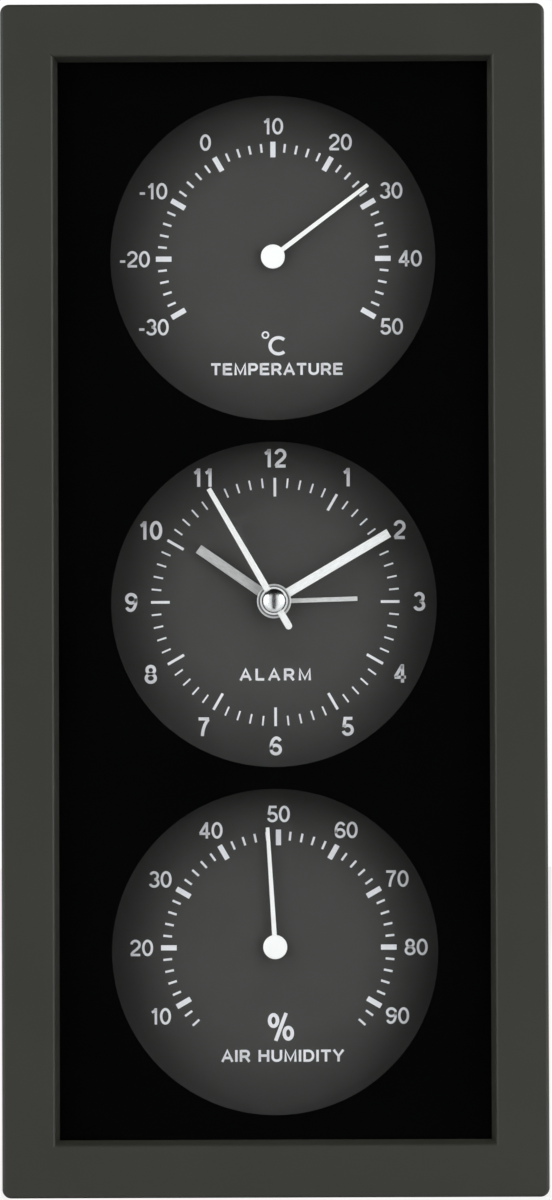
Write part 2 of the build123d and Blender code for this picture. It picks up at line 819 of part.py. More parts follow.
crystal_plane = Plane(
    origin=(
        crystal_x - crystal_length / 2,
        board_front - push_gap - crystal_radius - case_depth / 2,
        dial_row_height + crystal_z,
    ),
    x_dir=(0, 1, 0),
    z_dir=(1, 0, 0),
)
with BuildPart() as quartz_crystal:
    with BuildSketch(crystal_plane):
        Circle(crystal_radius)
    extrude(amount=crystal_length)

# Leaf that the hour wheel lifts to sound the alarm
alarm_post_centre = on_clock(alarm_post)
with BuildPart() as alarm_contact:
    with BuildSketch(layer(minute_layer + alarm_leaf_thickness, alarm_post_centre)):
        Rectangle(post_size, post_size)
        with Locations((-alarm_leaf_reach / 2, 0)):
            Rectangle(alarm_leaf_reach, alarm_leaf_width)
    extrude(amount=alarm_leaf_thickness)

# Movement case: a tub with the gear chamber, the open battery bay and holes for the arbors
switch_centre = on_clock((switch_x, switch_z))
switch_slot_length = switch_stem_length + switch_travel + 2 * clearance
board_posts = [
    (board_left + post_size, board_high - post_size),
    (board_right - post_size, board_low + post_size),
]
tab_low = tab_front - clearance
tab_high = tab_front + contact_tab + clearance
with BuildPart() as movement_case:
    with BuildSketch(layer(module_back, module_centre)):
        Rectangle(module_size, module_size)
    extrude(amount=module_back - plate_back)
    block(
        (-chamber_width / 2, chamber_low), (chamber_width / 2, chamber_high),
        plate_back, rear_wall_front, Mode.SUBTRACT,
    )
    block(
        (-chamber_width / 2, bay_low), (chamber_width / 2, bay_high),
        plate_back, module_back, Mode.SUBTRACT,
    )
    for side_x in (-chamber_width / 2, chamber_width / 2 - 2 * contact_thickness):
        slot_right = side_x + 2 * contact_thickness
        block((side_x, bay_high), (slot_right, chamber_low), tab_low, tab_high, Mode.SUBTRACT)
    for board_post in board_posts:
        pillar(board_post, board_back, rear_wall_front, post_size)
    pillar(train_pillars[0], bridge_back, rear_wall_front, pillar_size)
    for pivot_place in pivot_places:
        round_step(
            pivot_place, rear_wall_front, module_back, setting_arbor_radius + running_gap, Mode.SUBTRACT
        )
    with BuildSketch(layer(module_back, switch_centre)):
        Rectangle(switch_slot_length, switch_stem_width + 2 * clearance)
    extrude(amount=rear_wall, mode=Mode.SUBTRACT)

# Alarm slide switch, at the off end of its slot
switch_rest = on_clock((switch_x - switch_travel / 2, switch_z))
with BuildPart() as alarm_switch:
    switch_foot_back = rear_wall_front - layer_gap
    button_back = module_back + layer_gap + switch_button_height
    with BuildSketch(layer(switch_foot_back, switch_rest)):
        Rectangle(switch_button_length, switch_button_width)
    extrude(amount=switch_foot)
    with BuildSketch(layer(module_back + layer_gap, switch_rest)):
        Rectangle(switch_stem_length, switch_stem_width)
    extrude(amount=module_back + layer_gap - switch_foot_back)
    with BuildSketch(layer(button_back, switch_rest)):
        Rectangle(switch_button_length, switch_button_width)
    extrude(amount=switch_button_height)
    with BuildSketch(layer(button_back, switch_rest)):
        with GridLocations(switch_button_length / 4, 0, 3, 1):
            Rectangle(clearance, switch_button_width)
    extrude(amount=clearance, mode=Mode.SUBTRACT)

# Battery, lying across the bay with its button to the right
battery_plane = Plane(
    origin=(battery_end, battery_depth - case_depth / 2, dial_row_height + battery_z),
    x_dir=(0, 1, 0),
    z_dir=(1, 0, 0),
)
with BuildPart() as battery:
    with BuildSketch(battery_plane):
        Circle(battery_radius)
    extrude(amount=battery_length - battery_nub_length)
    with BuildSketch(battery_plane.offset(battery_length - battery_nub_length)):
        Circle(battery_nub_radius)
    extrude(amount=battery_nub_length)

# Battery contacts: a plain plate at the button, and a bowed leaf with a long strip at the other end
contact_low = battery_z - contact_height / 2
contact_front = battery_depth - contact_width / 2
contact_back = tab_front + contact_tab
bow_reach = battery_end - battery_gap
bow_root = -chamber_width / 2 + contact_thickness
bow_top = battery_z + contact_height / 3
bow_bottom = battery_z - contact_height / 3
with BuildPart() as positive_contact:
    block((contact_x, contact_low), (contact_x + contact_thickness, bay_high), contact_front, contact_back)
    block(
        (contact_x, contact_low + contact_height), (contact_x + contact_thickness, chamber_low + contact_tab),
        tab_front, tab_front + contact_tab,
    )

with BuildPart() as negative_contact:
    block((-chamber_width / 2, contact_low), (bow_root, bay_high), contact_front, contact_back)
    block(
        (-chamber_width / 2, bay_high - contact_tab), (bow_root, chamber_low + contact_thickness),
        tab_front, tab_front + contact_tab,
    )
    block(
        (-chamber_width / 2, chamber_low), (board_left + contact_tab, chamber_low + contact_thickness),
        tab_front, tab_front + contact_tab,
    )
    with BuildSketch(layer(contact_front + contact_width, clock_centre)):
        Polygon(
            (bow_root, bow_top),
            (bow_reach, battery_z),
            (bow_root, bow_bottom),
            (bow_root, bow_bottom + 2 * contact_thickness),
            (bow_reach - 2 * contact_thickness, battery_z),
            (bow_root, bow_top - 2 * contact_thickness),
            align=None,
        )
    extrude(amount=contact_width)


needle_blade_back = dial_front - needle_height + hand_thickness
needle_hub_front = dial_front - needle_height - needle_hub_height / 2
needle_hub_back = needle_hub_front + needle_hub_height


def build_needle(centre, angle):
    """A tapered needle with a round hub, on the end of its spindle."""
    with BuildPart() as needle:
        with BuildSketch(layer(needle_blade_back, centre, angle)):
            Polygon(
                (-needle_width / 2, 0),
                (needle_width / 2, 0),
                (needle_tip_width / 2, needle_length),
                (-needle_tip_width / 2, needle_length),
                align=None,
            )
        extrude(amount=hand_thickness)
        round_step(centre, needle_hub_front, needle_hub_back, needle_hub_radius)
    return needle


bracket_back = floor_back + bracket_depth
strip_front = floor_back + (bracket_depth - bracket_thickness - strip_width) / 2
strip_start = spindle_radius + running_gap + strip_thickness / 2
strip_end = strip_start + strip_pitch * strip_turns
strip_post_x = strip_end + strip_thickness / 2 + running_gap + strip_post / 2


def build_spindle(centre):
    """Spindle of a needle, from the hub to the bearing in the bracket."""
    with BuildPart() as spindle:
        round_step(centre, needle_hub_back, bracket_back, spindle_radius)
    return spindle


def strip_edge(side):
    """Points along one face of the wound strip, from its inner to its outer end."""
    points = []
    for step in range(strip_turns * strip_flats + 1):
        turn = step / strip_flats
        radius = strip_start + strip_pitch * turn + side * strip_thickness / 2
        points.append((radius * cos(2 * pi * turn), radius * sin(2 * pi * turn)))
    return points


def build_strip(centre):
    """A flat strip wound outward at an even pitch, from the spindle to the post of the bracket."""
    with BuildPart() as strip:
        with BuildSketch(layer(strip_front + strip_width, centre)):
            Polygon(*strip_edge(1), *reversed(strip_edge(-1)), align=None)
        extrude(amount=strip_width)
    return strip


def build_bracket(centre):
    """A strap bent to a U behind the dial, with the rear bearing and a post for the end of the strip."""
    leg = bracket_span / 2
    inner_leg = leg - bracket_thickness
    foot = leg + bracket_foot
    bar_front = bracket_depth - bracket_thickness
    with BuildPart() as bracket:
        with BuildSketch(across(centre[1] - dial_row_height - bracket_width / 2, centre[0], floor_back)):
            Polygon(
                (foot, 0),
                (foot, bracket_thickness),
                (leg, bracket_thickness),
                (leg, bracket_depth),
                (-leg, bracket_depth),
                (-leg, bracket_thickness),
                (-foot, bracket_thickness),
                (-foot, 0),
                (-inner_leg, 0),
                (-inner_leg, bar_front),
                (inner_leg, bar_front),
                (inner_leg, 0),
                align=None,
            )
        extrude(amount=bracket_width)
        with BuildSketch(layer(bracket_back, centre)):
            with Locations((strip_post_x, 0)):
                Rectangle(strip_post, strip_post)
        extrude(amount=bracket_back - strip_front)
        with BuildSketch(layer(floor_back + bracket_thickness, centre)):
            with GridLocations(2 * stake_x, 0, 2, 1):
                Rectangle(stake_size + 2 * push_gap, stake_size + 2 * push_gap)
        extrude(amount=bracket_thickness, mode=Mode.SUBTRACT)
        round_step(centre, floor_back, bracket_back, spindle_radius + running_gap, Mode.SUBTRACT)
    return bracket


thermometer_needle = build_needle(thermometer_centre, thermometer_angle)
thermometer_spindle = build_spindle(thermometer_centre)
thermometer_coil = build_strip(thermometer_centre)
thermometer_bracket = build_bracket(thermometer_centre)
hygrometer_needle = build_needle(hygrometer_centre, hygrometer_angle)
hygrometer_spindle = build_spindle(hygrometer_centre)
hygrometer_coil = build_strip(hygrometer_centre)
hygrometer_bracket = build_bracket(hygrometer_centre)

# Rear cover: a plate let into the frame, with tabs at its top, a collar round the movement and vents
cover_opening = module_size + 2 * clearance
with BuildPart() as rear_cover:
    with BuildSketch(layer(cover_back, case_centre)):
        Rectangle(inner_width - 2 * cover_gap, inner_height - 2 * cover_gap)
    extrude(amount=cover_thickness)
    with BuildSketch(layer(cover_front + cover_tab, (0.0, tab_height))):
        with GridLocations(2 * cover_fixing_x, 0, 2, 1):
            Rectangle(cover_tab_length, 2 * cover_tab_reach)
    extrude(amount=cover_tab)
    with BuildSketch(layer(cover_front, module_centre)):
        Rectangle(cover_opening + 2 * collar_wall, cover_opening + 2 * collar_wall)
    extrude(amount=cover_front - collar_front)
    with BuildSketch(layer(cover_back, module_centre)):
        Rectangle(cover_opening, cover_opening)
    extrude(amount=cover_back - collar_front, mode=Mode.SUBTRACT)
    with BuildSketch(layer(cover_back)):
        with Locations(*sensor_centres):
            with GridLocations(vent_pitch, 0, vent_count, 1):
                Rectangle(vent_width, vent_length)
    extrude(amount=cover_thickness, mode=Mode.SUBTRACT)

pieces = {
    "front_frame": front_frame,
    "lens_tape": lens_tape,
    "front_lens": front_lens,
    "window_mask": window_mask,
    "dial_carrier": dial_carrier,
    "dial_base": dial_base,
    "thermometer_dial": thermometer_dial,
    "clock_dial": clock_dial,
    "hygrometer_dial": hygrometer_dial,
    "alarm_hand": alarm_hand,
    "hour_hand": hour_hand,
    "minute_hand": minute_hand,
    "second_hand": second_hand,
    "second_hand_cap": second_hand_cap,
    "second_wheel": second_wheel,
    "minute_pipe": minute_pipe,
    "centre_wheel": centre_wheel,
    "hour_wheel": hour_wheel,
    "alarm_wheel": alarm_wheel,
    "third_wheel": third_wheel,
    "intermediate_wheel": intermediate_wheel,
    "rotor": rotor,
    "rotor_magnet": rotor_magnet,
    "setting_wheel": setting_wheel,
    "alarm_setting_pinion": alarm_setting_pinion,
    "time_set_knob": time_set_knob,
    "alarm_set_knob": alarm_set_knob,
    "movement_front_plate": movement_front_plate,
    "middle_plate": middle_plate,
    "train_bridge": train_bridge,
    "stator": stator,
    "coil_core": coil_core,
    "coil_bobbin": coil_bobbin,
    "coil_winding": coil_winding,
    "circuit_board": circuit_board,
    "buzzer": buzzer,
    "quartz_crystal": quartz_crystal,
    "alarm_contact": alarm_contact,
    "movement_case": movement_case,
    "alarm_switch": alarm_switch,
    "battery": battery,
    "positive_contact": positive_contact,
    "negative_contact": negative_contact,
    "thermometer_needle": thermometer_needle,
    "thermometer_spindle": thermometer_spindle,
    "thermometer_coil": thermometer_coil,
    "thermometer_bracket": thermometer_bracket,
    "hygrometer_needle": hygrometer_needle,
    "hygrometer_spindle": hygrometer_spindle,
    "hygrometer_coil": hygrometer_coil,
    "hygrometer_bracket": hygrometer_bracket,
    "rear_cover": rear_cover,
}
for name, piece in pieces.items():
    piece.part.label = name
    export_step(piece.part, f"parts/{name}.step")
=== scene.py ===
# %% [markdown]
# # Dressing a desk clock with a thermometer and a hygrometer
# The CAD model already has every solid and every joint of this clock. This lesson adds what CAD leaves
# out: soft edges, printed dials, finishes and light. Nothing is moved: each new piece rides on a CAD body.

import json
from math import cos, pi, radians, sin

import bmesh
import bpy
from mathutils import Euler, Matrix, Vector

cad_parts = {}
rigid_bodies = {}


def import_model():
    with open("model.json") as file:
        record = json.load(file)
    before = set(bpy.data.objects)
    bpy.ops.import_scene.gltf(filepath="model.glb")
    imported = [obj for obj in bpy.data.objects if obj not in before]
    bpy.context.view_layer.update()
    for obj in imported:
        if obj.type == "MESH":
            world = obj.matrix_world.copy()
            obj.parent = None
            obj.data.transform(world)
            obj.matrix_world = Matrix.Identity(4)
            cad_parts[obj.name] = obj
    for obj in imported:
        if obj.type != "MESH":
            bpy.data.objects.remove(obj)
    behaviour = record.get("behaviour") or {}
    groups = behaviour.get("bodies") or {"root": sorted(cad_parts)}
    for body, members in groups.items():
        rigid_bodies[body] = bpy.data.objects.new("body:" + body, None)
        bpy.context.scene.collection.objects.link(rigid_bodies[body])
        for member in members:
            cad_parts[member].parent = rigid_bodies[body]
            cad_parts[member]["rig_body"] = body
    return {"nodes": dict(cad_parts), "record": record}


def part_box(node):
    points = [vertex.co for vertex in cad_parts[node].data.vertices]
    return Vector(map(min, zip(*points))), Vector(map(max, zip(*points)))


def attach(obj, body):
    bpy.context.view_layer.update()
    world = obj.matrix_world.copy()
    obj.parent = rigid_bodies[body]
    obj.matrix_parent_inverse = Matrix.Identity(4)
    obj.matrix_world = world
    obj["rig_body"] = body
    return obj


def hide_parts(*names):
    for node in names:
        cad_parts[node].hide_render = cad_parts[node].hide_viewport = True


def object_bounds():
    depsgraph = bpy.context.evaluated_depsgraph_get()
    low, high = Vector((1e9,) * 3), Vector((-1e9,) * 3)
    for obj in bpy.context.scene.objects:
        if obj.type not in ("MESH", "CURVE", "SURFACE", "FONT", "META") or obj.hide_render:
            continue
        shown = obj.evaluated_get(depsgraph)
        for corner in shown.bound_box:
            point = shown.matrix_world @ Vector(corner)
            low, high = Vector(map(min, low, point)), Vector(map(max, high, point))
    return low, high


for leftover in list(bpy.data.objects):
    bpy.data.objects.remove(leftover)
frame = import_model()
nodes = frame["nodes"]
cad_low, cad_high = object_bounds()
scene = bpy.context.scene
mm = 0.001
print("CAD nodes:", len(nodes), "box in mm:", [round(v / mm, 1) for v in cad_high - cad_low])

# %% [markdown]
# ## Camera
# The photograph is a front view through a long lens, with the case filling the picture. A camera could be
# fitted by hand, but its place follows from three readings: how many pixels the case spans, where its
# centre lies, and that its lower end looks a little wider, so the camera stands slightly low.

# %% Camera at the photograph's angle
photo_width = 552
photo_height = 1200
case_span = 546
case_middle = (274.0, 598.8)
camera_distance = 1.0
camera_drop = radians(1.75)
camera_roll = radians(0.2)

pixel = (cad_high.x - cad_low.x) / case_span
case_centre = (cad_low + cad_high) / 2
target = Vector((
    case_centre.x + (photo_width / 2 - case_middle[0]) * pixel,
    cad_low.y,
    case_centre.z - (photo_height / 2 - case_middle[1]) * pixel,
))
toward_camera = Vector((0.0, -cos(camera_drop), -sin(camera_drop)))
camera = bpy.data.objects.new("camera", bpy.data.cameras.new("camera"))
camera.data.sensor_width = 36.0
camera.data.lens = camera.data.sensor_width * camera_distance / (photo_height * pixel)
camera.location = target + toward_camera * camera_distance
look = (-toward_camera).to_track_quat("-Z", "Y")
camera.rotation_mode = "QUATERNION"
camera.rotation_quaternion = look @ Euler((0, 0, -camera_roll)).to_quaternion()
scene.collection.objects.link(camera)
scene.camera = camera
scene.view_settings.view_transform = "Standard"
print("Lens in mm:", round(camera.data.lens, 1), "one pixel in mm:", round(pixel / mm, 4))

# %% [markdown]
# ## Small helpers
# A finish is a handful of shader nodes, and a pattern is a handful of geometry nodes. One helper adds a
# node and wires its inputs, so that each recipe further down reads from top to bottom.

# %% Helpers for nodes, meshes and objects
def add_node(tree, kind, inputs=None, **settings):
    """A new node. An input is given a value, or another node's output to be wired to."""
    made = tree.nodes.new(kind)
    for key, value in settings.items():
        setattr(made, key, value)
    for key, value in (inputs or {}).items():
        if isinstance(value, bpy.types.NodeSocket):
            tree.links.new(value, made.inputs[key])
        else:
            made.inputs[key].default_value = value
    return made


def maths(tree, operation, *values):
    """The result of a Math node on values or other nodes' outputs."""
    return add_node(tree, "ShaderNodeMath", dict(enumerate(values)), operation=operation).outputs[0]


def map_range(tree, value, start, end, low=0.0, high=1.0):
    """The result of stretching a value that runs from start to end, so that it runs from low to high."""
    ends = {"Value": value, "From Min": start, "From Max": end, "To Min": low, "To Max": high}
    return add_node(tree, "ShaderNodeMapRange", ends).outputs[0]


def new_piece(name, mesh, finish=None):
    """An object at the origin that holds a finished mesh."""
    piece = bpy.data.objects.new(name, mesh)
    scene.collection.objects.link(piece)
    if finish is not None:
        mesh.materials.clear()
        mesh.materials.append(finish)
    return piece


def settle(piece):
    """Turns a piece's live modifiers into one plain mesh."""
    graph = bpy.context.evaluated_depsgraph_get()
    mesh = bpy.data.meshes.new_from_object(piece.evaluated_get(graph))
    mesh.name = piece.name
    piece.modifiers.clear()
    piece.data = mesh


def smooth_by_angle(mesh, angle=35):
    """Smooth shading, with edges sharper than the angle kept crisp."""
    mesh.polygons.foreach_set("use_smooth", [True] * len(mesh.polygons))
    mesh.set_sharp_from_angle(angle=radians(angle))


print("Helpers ready")

# %% [markdown]
# ## The studio
# A pale table, two tall softboxes beside the camera and one overhead give the flat, even light of a shop
# photograph. The clock's front has to look black, so what its gloss mirrors must be dark: the table ends
# just in front of the clock, and a dark cloth hangs behind the camera, as a band in the world shader.

# %% Table
table_front = 0.11
table_reach = 4.0
table_thickness = 0.03
table_edge = 0.012


def pale_table():
    """A slab whose front edge is rounded, just ahead of the clock."""
    form = bmesh.new()
    bmesh.ops.create_cube(form, size=1.0)
    size = Vector((2 * table_reach, table_reach + table_front, table_thickness))
    half_way = -table_thickness / 2
    middle = Vector((0, cad_low.y + (table_reach - table_front) / 2, half_way))
    form.transform(Matrix.Translation(middle) @ Matrix.Diagonal(size).to_4x4())
    front = [e for e in form.edges if all(v.co.y < cad_low.y and v.co.z > half_way for v in e.verts)]
    bmesh.ops.bevel(form, geom=front, offset=table_edge, segments=8, profile=0.5, affect="EDGES")
    mesh = bpy.data.meshes.new("table")
    form.to_mesh(mesh)
    form.free()
    smooth_by_angle(mesh)
    return mesh


table = new_piece("table", pale_table())
print("Table faces:", len(table.data.polygons))

# %% [markdown]
# To the camera the table mostly shows a white glow of its own, so it stays as pale as the background. All
# other rays meet plain matt paint. A brighter lamp could do the same, but it would also wash out the clock.

# %% Table paint
table_glow_share = 0.85
table_paint = bpy.data.materials.new("table_paint")
table_paint.use_nodes = True
table_tree = table_paint.node_tree
table_shader = table_tree.nodes["Principled BSDF"]
table_shader.inputs["Base Color"].default_value = (0.95, 0.95, 0.945, 1)
table_shader.inputs["Roughness"].default_value = 0.75
table_shader.inputs["Specular IOR Level"].default_value = 0.2
table_glow = add_node(table_tree, "ShaderNodeEmission", {"Color": (1, 1, 1, 1), "Strength": 1.0})
camera_ray = add_node(table_tree, "ShaderNodeLightPath").outputs["Is Camera Ray"]
glow_share = maths(table_tree, "MULTIPLY", camera_ray, table_glow_share)
table_mix = add_node(
    table_tree, "ShaderNodeMixShader", {0: glow_share, 1: table_shader.outputs[0], 2: table_glow.outputs[0]},
)
table_tree.links.new(table_mix.outputs[0], table_tree.nodes["Material Output"].inputs["Surface"])
table.data.materials.append(table_paint)
print("Table nodes:", len(table_tree.nodes))

# %% [markdown]
# Most of the light comes from above, so the upper edge of each window shades its dial. Two narrow strips far
# to the sides are only seen in mirrored rays: the bezel's edges show them as thin bright lines, the right one
# stronger. Point lamps would be simpler, but only large ones give the soft gloss of moulded plastic.

# %% Lamps
def softbox(name, place, width, height, power):
    """An area lamp that faces the middle of the case."""
    lamp = bpy.data.lights.new(name, "AREA")
    lamp.shape = "RECTANGLE"
    lamp.size = width
    lamp.size_y = height
    lamp.energy = power
    stand = bpy.data.objects.new(name, lamp)
    stand.location = Vector(place)
    stand.rotation_mode = "QUATERNION"
    stand.rotation_quaternion = (case_centre - Vector(place)).to_track_quat("-Z", "Y")
    stand.visible_camera = False
    scene.collection.objects.link(stand)
    return stand


softbox("left_softbox", (-0.75, -0.80, 0.30), 0.55, 0.9, 2.0)
softbox("right_softbox", (0.75, -0.80, 0.30), 0.55, 0.9, 2.35)
for strip in (
    softbox("left_strip", (-1.20, -0.16, 0.12), 0.2, 0.6, 1.2),
    softbox("right_strip", (1.20, -0.16, 0.12), 0.2, 0.6, 2.4),
):
    strip.visible_diffuse = False
top_softbox = softbox("top_softbox", (0.0, -0.45, 1.05), 1.2, 0.6, 8.5)
top_softbox.visible_glossy = False
top_softbox.visible_transmission = False
softbox("rear_softbox", (0.4, 1.2, 0.9), 1.0, 1.0, 7.0)
print("Lamps:", len(bpy.data.lights))

# %% [markdown]
# The world is white where the camera looks, so the background is white without any light on the clock. All
# other rays find the dark cloth and a dark ceiling. The walls between them are bright to mirrored rays, which
# gives the cap and the black border their gloss, and dim to scattered ones.

# %% World: pale surroundings with a dark cloth behind the camera
room_level = 0.3
cloth_slope = 0.19
cloth_blur = 0.08
ceiling_low = 0.35
ceiling_high = 0.55

world = bpy.data.worlds.new("studio")
scene.world = world
world.use_nodes = True
air = world.node_tree
air.nodes.clear()
looking = add_node(air, "ShaderNodeTexCoord").outputs["Generated"]
direction = add_node(air, "ShaderNodeSeparateXYZ", {0: looking}).outputs
cloth_edge = maths(air, "MULTIPLY", direction["Y"], -cloth_slope)
past_cloth = maths(air, "SUBTRACT", maths(air, "ABSOLUTE", direction["X"]), cloth_edge)
beside_cloth = map_range(air, past_cloth, -cloth_blur, cloth_blur)
below_ceiling = map_range(air, direction["Z"], ceiling_high, ceiling_low)
bright_wall = maths(air, "MULTIPLY", beside_cloth, below_ceiling)
rays = add_node(air, "ShaderNodeLightPath").outputs
mirrored_ray = maths(air, "MAXIMUM", rays["Is Glossy Ray"], rays["Is Transmission Ray"])
mirrored_wall = maths(air, "MULTIPLY", mirrored_ray, bright_wall)
pale = maths(air, "MAXIMUM", rays["Is Camera Ray"], mirrored_wall)
room_light = maths(air, "MULTIPLY", bright_wall, room_level)
room = add_node(air, "ShaderNodeBackground", {"Color": (1, 1, 1, 1), "Strength": room_light})
backdrop = add_node(air, "ShaderNodeBackground", {"Color": (1, 1, 1, 1), "Strength": 1.0})
choice = add_node(air, "ShaderNodeMixShader", {0: pale, 1: room.outputs[0], 2: backdrop.outputs[0]})
add_node(air, "ShaderNodeOutputWorld", {"Surface": choice.outputs[0]})
print("World nodes:", len(air.nodes))

# %% [markdown]
# ## Finishes
# Moulded plastic is never one flat colour: the mould leaves a fine sparked grain, the resin is faintly
# cloudy, and the gloss wanders. Metal parts here are brushed along their length or rolled. Two recipes
# cover nearly all of the pieces, and a few special ones follow. Patterns are sized in metres.

# %% Moulded and brushed finishes
def blank_finish(name):
    """A material with its shader, and the Object coordinates that patterns are laid out on."""
    finish = bpy.data.materials.new(name)
    finish.use_nodes = True
    tree = finish.node_tree
    place = add_node(tree, "ShaderNodeTexCoord").outputs["Object"]
    return finish, tree, tree.nodes["Principled BSDF"], place


def vary(tree, shader, pattern, colour, spread, roughness, wander):
    """Lets a pattern move the colour by a share and the roughness by a step."""
    darker = [v * (1 - spread) for v in colour] + [1]
    lighter = [min(1, v * (1 + spread)) for v in colour] + [1]
    tint = add_node(tree, "ShaderNodeMix", {0: pattern, 6: darker, 7: lighter}, data_type="RGBA")
    tree.links.new(tint.outputs[2], shader.inputs["Base Color"])
    gloss = map_range(tree, pattern, 0.0, 1.0, roughness - wander, roughness + wander)
    tree.links.new(gloss, shader.inputs["Roughness"])
    return tint.outputs[2]


def emboss(tree, shader, pattern, relief, strength):
    """Lets a pattern raise the surface by a relief in metres."""
    bump = add_node(tree, "ShaderNodeBump", {"Strength": strength, "Distance": relief, "Height": pattern})
    tree.links.new(bump.outputs[0], shader.inputs["Normal"])


def moulded(name, colour, roughness=0.5, grain=0.25 * mm, relief=0.02 * mm, strength=0.25):
    """Moulded plastic with a sparked grain and a faint cloudiness."""
    finish, tree, shader, place = blank_finish(name)
    cloud = add_node(tree, "ShaderNodeTexNoise", {"Vector": place, "Scale": 0.02 / grain, "Detail": 4.0})
    vary(tree, shader, cloud.outputs[0], colour, 0.10, roughness, 0.05)
    sparks = add_node(tree, "ShaderNodeTexNoise", {"Vector": place, "Scale": 1 / grain, "Detail": 2.0})
    emboss(tree, shader, sparks.outputs[0], relief, strength)
    return finish


def brushed(
    name, colour, roughness=0.35, metallic=1.0, angle=0.0, hub=(0, 0, 0),
    line=0.06 * mm, run=4 * mm, spread=0.14,
):
    """Metal brushed along a clock angle. Lines are thin across it and long along it."""
    finish, tree, shader, place = blank_finish(name)
    shader.inputs["Metallic"].default_value = metallic
    laid = add_node(
        tree, "ShaderNodeMapping",
        {"Vector": place, "Location": hub, "Rotation": (0, radians(angle), 0), "Scale": (line, line, run)},
        vector_type="TEXTURE",
    )
    strokes = add_node(tree, "ShaderNodeTexNoise", {"Vector": laid.outputs[0], "Scale": 1.0, "Detail": 3.0})
    vary(tree, shader, strokes.outputs[0], colour, spread, roughness, 0.08)
    emboss(tree, shader, strokes.outputs[0], 0.01 * mm, 0.3)
    return finish


print("Recipes: moulded, brushed")

# %% [markdown]
# The pane is clear plastic with a black border printed on its back. A pane that mirrors a few rays in a
# hundred renders as speckle, so the gloss is given to the border's ink, where every ray counts, and the pane
# itself only lets light pass. Shadow rays go straight through, so that the lamps reach the dials.

# %% Clear pane
def clear_pane(name, haze=0.01):
    """Clear sheet that lets lamplight through to what is behind it. Smears roughen it to a faint haze."""
    finish, tree, shader, place = blank_finish(name)
    shader.inputs["Base Color"].default_value = (0.97, 0.98, 0.98, 1)
    shader.inputs["Transmission Weight"].default_value = 1.0
    shader.inputs["IOR"].default_value = 1.0
    smears = add_node(tree, "ShaderNodeTexNoise", {"Vector": place, "Scale": 25.0, "Detail": 2.0})
    roughness = map_range(tree, smears.outputs[0], 0.0, 1.0, 0.0, haze)
    tree.links.new(roughness, shader.inputs["Roughness"])
    passing = add_node(tree, "ShaderNodeBsdfTransparent", {"Color": (0.94, 0.95, 0.95, 1)})
    shadow = add_node(tree, "ShaderNodeLightPath").outputs["Is Shadow Ray"]
    mix = add_node(tree, "ShaderNodeMixShader", {0: shadow, 1: shader.outputs[0], 2: passing.outputs[0]})
    tree.links.new(mix.outputs[0], tree.nodes["Material Output"].inputs["Surface"])
    return finish


print("Recipe: clear_pane")

# %% [markdown]
# The dials are thin sheet, printed matt dark grey. Painted shade darkens the grey towards the rim, less so at
# the foot, in place of the shadow that the window's edge casts on the recessed dial. A ramp on the distance
# from the hub gives that, so each dial has its own copy of the finish.

# %% Dial ink with painted shade
def hub_of(dial):
    """Middle of a dial's printed face."""
    low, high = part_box(dial)
    return Vector(((low.x + high.x) / 2, low.y, (low.z + high.z) / 2))


def dial_ink(name, colour, hub, unshaded_radius=15 * mm, rim_radius=27 * mm, rim_shade_share=0.48, foot_shade_share=0.35):
    """Matt dial ink with painted shade, darkening from a clear middle to a share of its colour at the rim."""
    finish, tree, shader, place = blank_finish(name)
    shader.inputs["Specular IOR Level"].default_value = 0.0
    cloud = add_node(tree, "ShaderNodeTexNoise", {"Vector": place, "Scale": 0.15 / mm, "Detail": 4.0})
    tint = vary(tree, shader, cloud.outputs[0], colour, 0.06, 0.7, 0.05)
    outward = add_node(tree, "ShaderNodeVectorMath", {0: place, 1: hub}, operation="DISTANCE")
    upward = add_node(tree, "ShaderNodeSeparateXYZ", {0: place})
    # Painted shade is weaker at the foot, where light from above still reaches past the window's edge.
    foot = hub.z - rim_radius
    middle = hub.z - unshaded_radius / 2
    strength = map_range(tree, upward.outputs["Z"], foot, middle, foot_shade_share, 1.0)
    # Painted shade: darker towards the rim, in place of the shadow of the window's edge.
    depth = map_range(tree, outward.outputs["Value"], unshaded_radius, rim_radius, 0.0, strength)
    painted_shade = add_node(
        tree, "ShaderNodeMix",
        {0: depth, 6: tint, 7: (rim_shade_share, rim_shade_share, rim_shade_share, 1)},
        data_type="RGBA", blend_type="MULTIPLY",
    )
    tree.links.new(painted_shade.outputs[2], shader.inputs["Base Color"])
    fine = add_node(tree, "ShaderNodeTexNoise", {"Vector": place, "Scale": 8 / mm, "Detail": 2.0})
    emboss(tree, shader, fine.outputs[0], 0.004 * mm, 0.1)
    return finish


dial_names = ("thermometer_dial", "clock_dial", "hygrometer_dial")
shaded_dial_inks = {dial: dial_ink(dial + "_ink", (0.065, 0.065, 0.0625), hub_of(dial)) for dial in dial_names}
clock_hub = hub_of("clock_dial")
print("Dial inks:", len(shaded_dial_inks))

# %% [markdown]
# Every solid in the CAD model belongs to a slot, such as case, pane or battery. One table says which finish
# each slot has, so a change of finish is made in one place and reaches every piece of that slot.

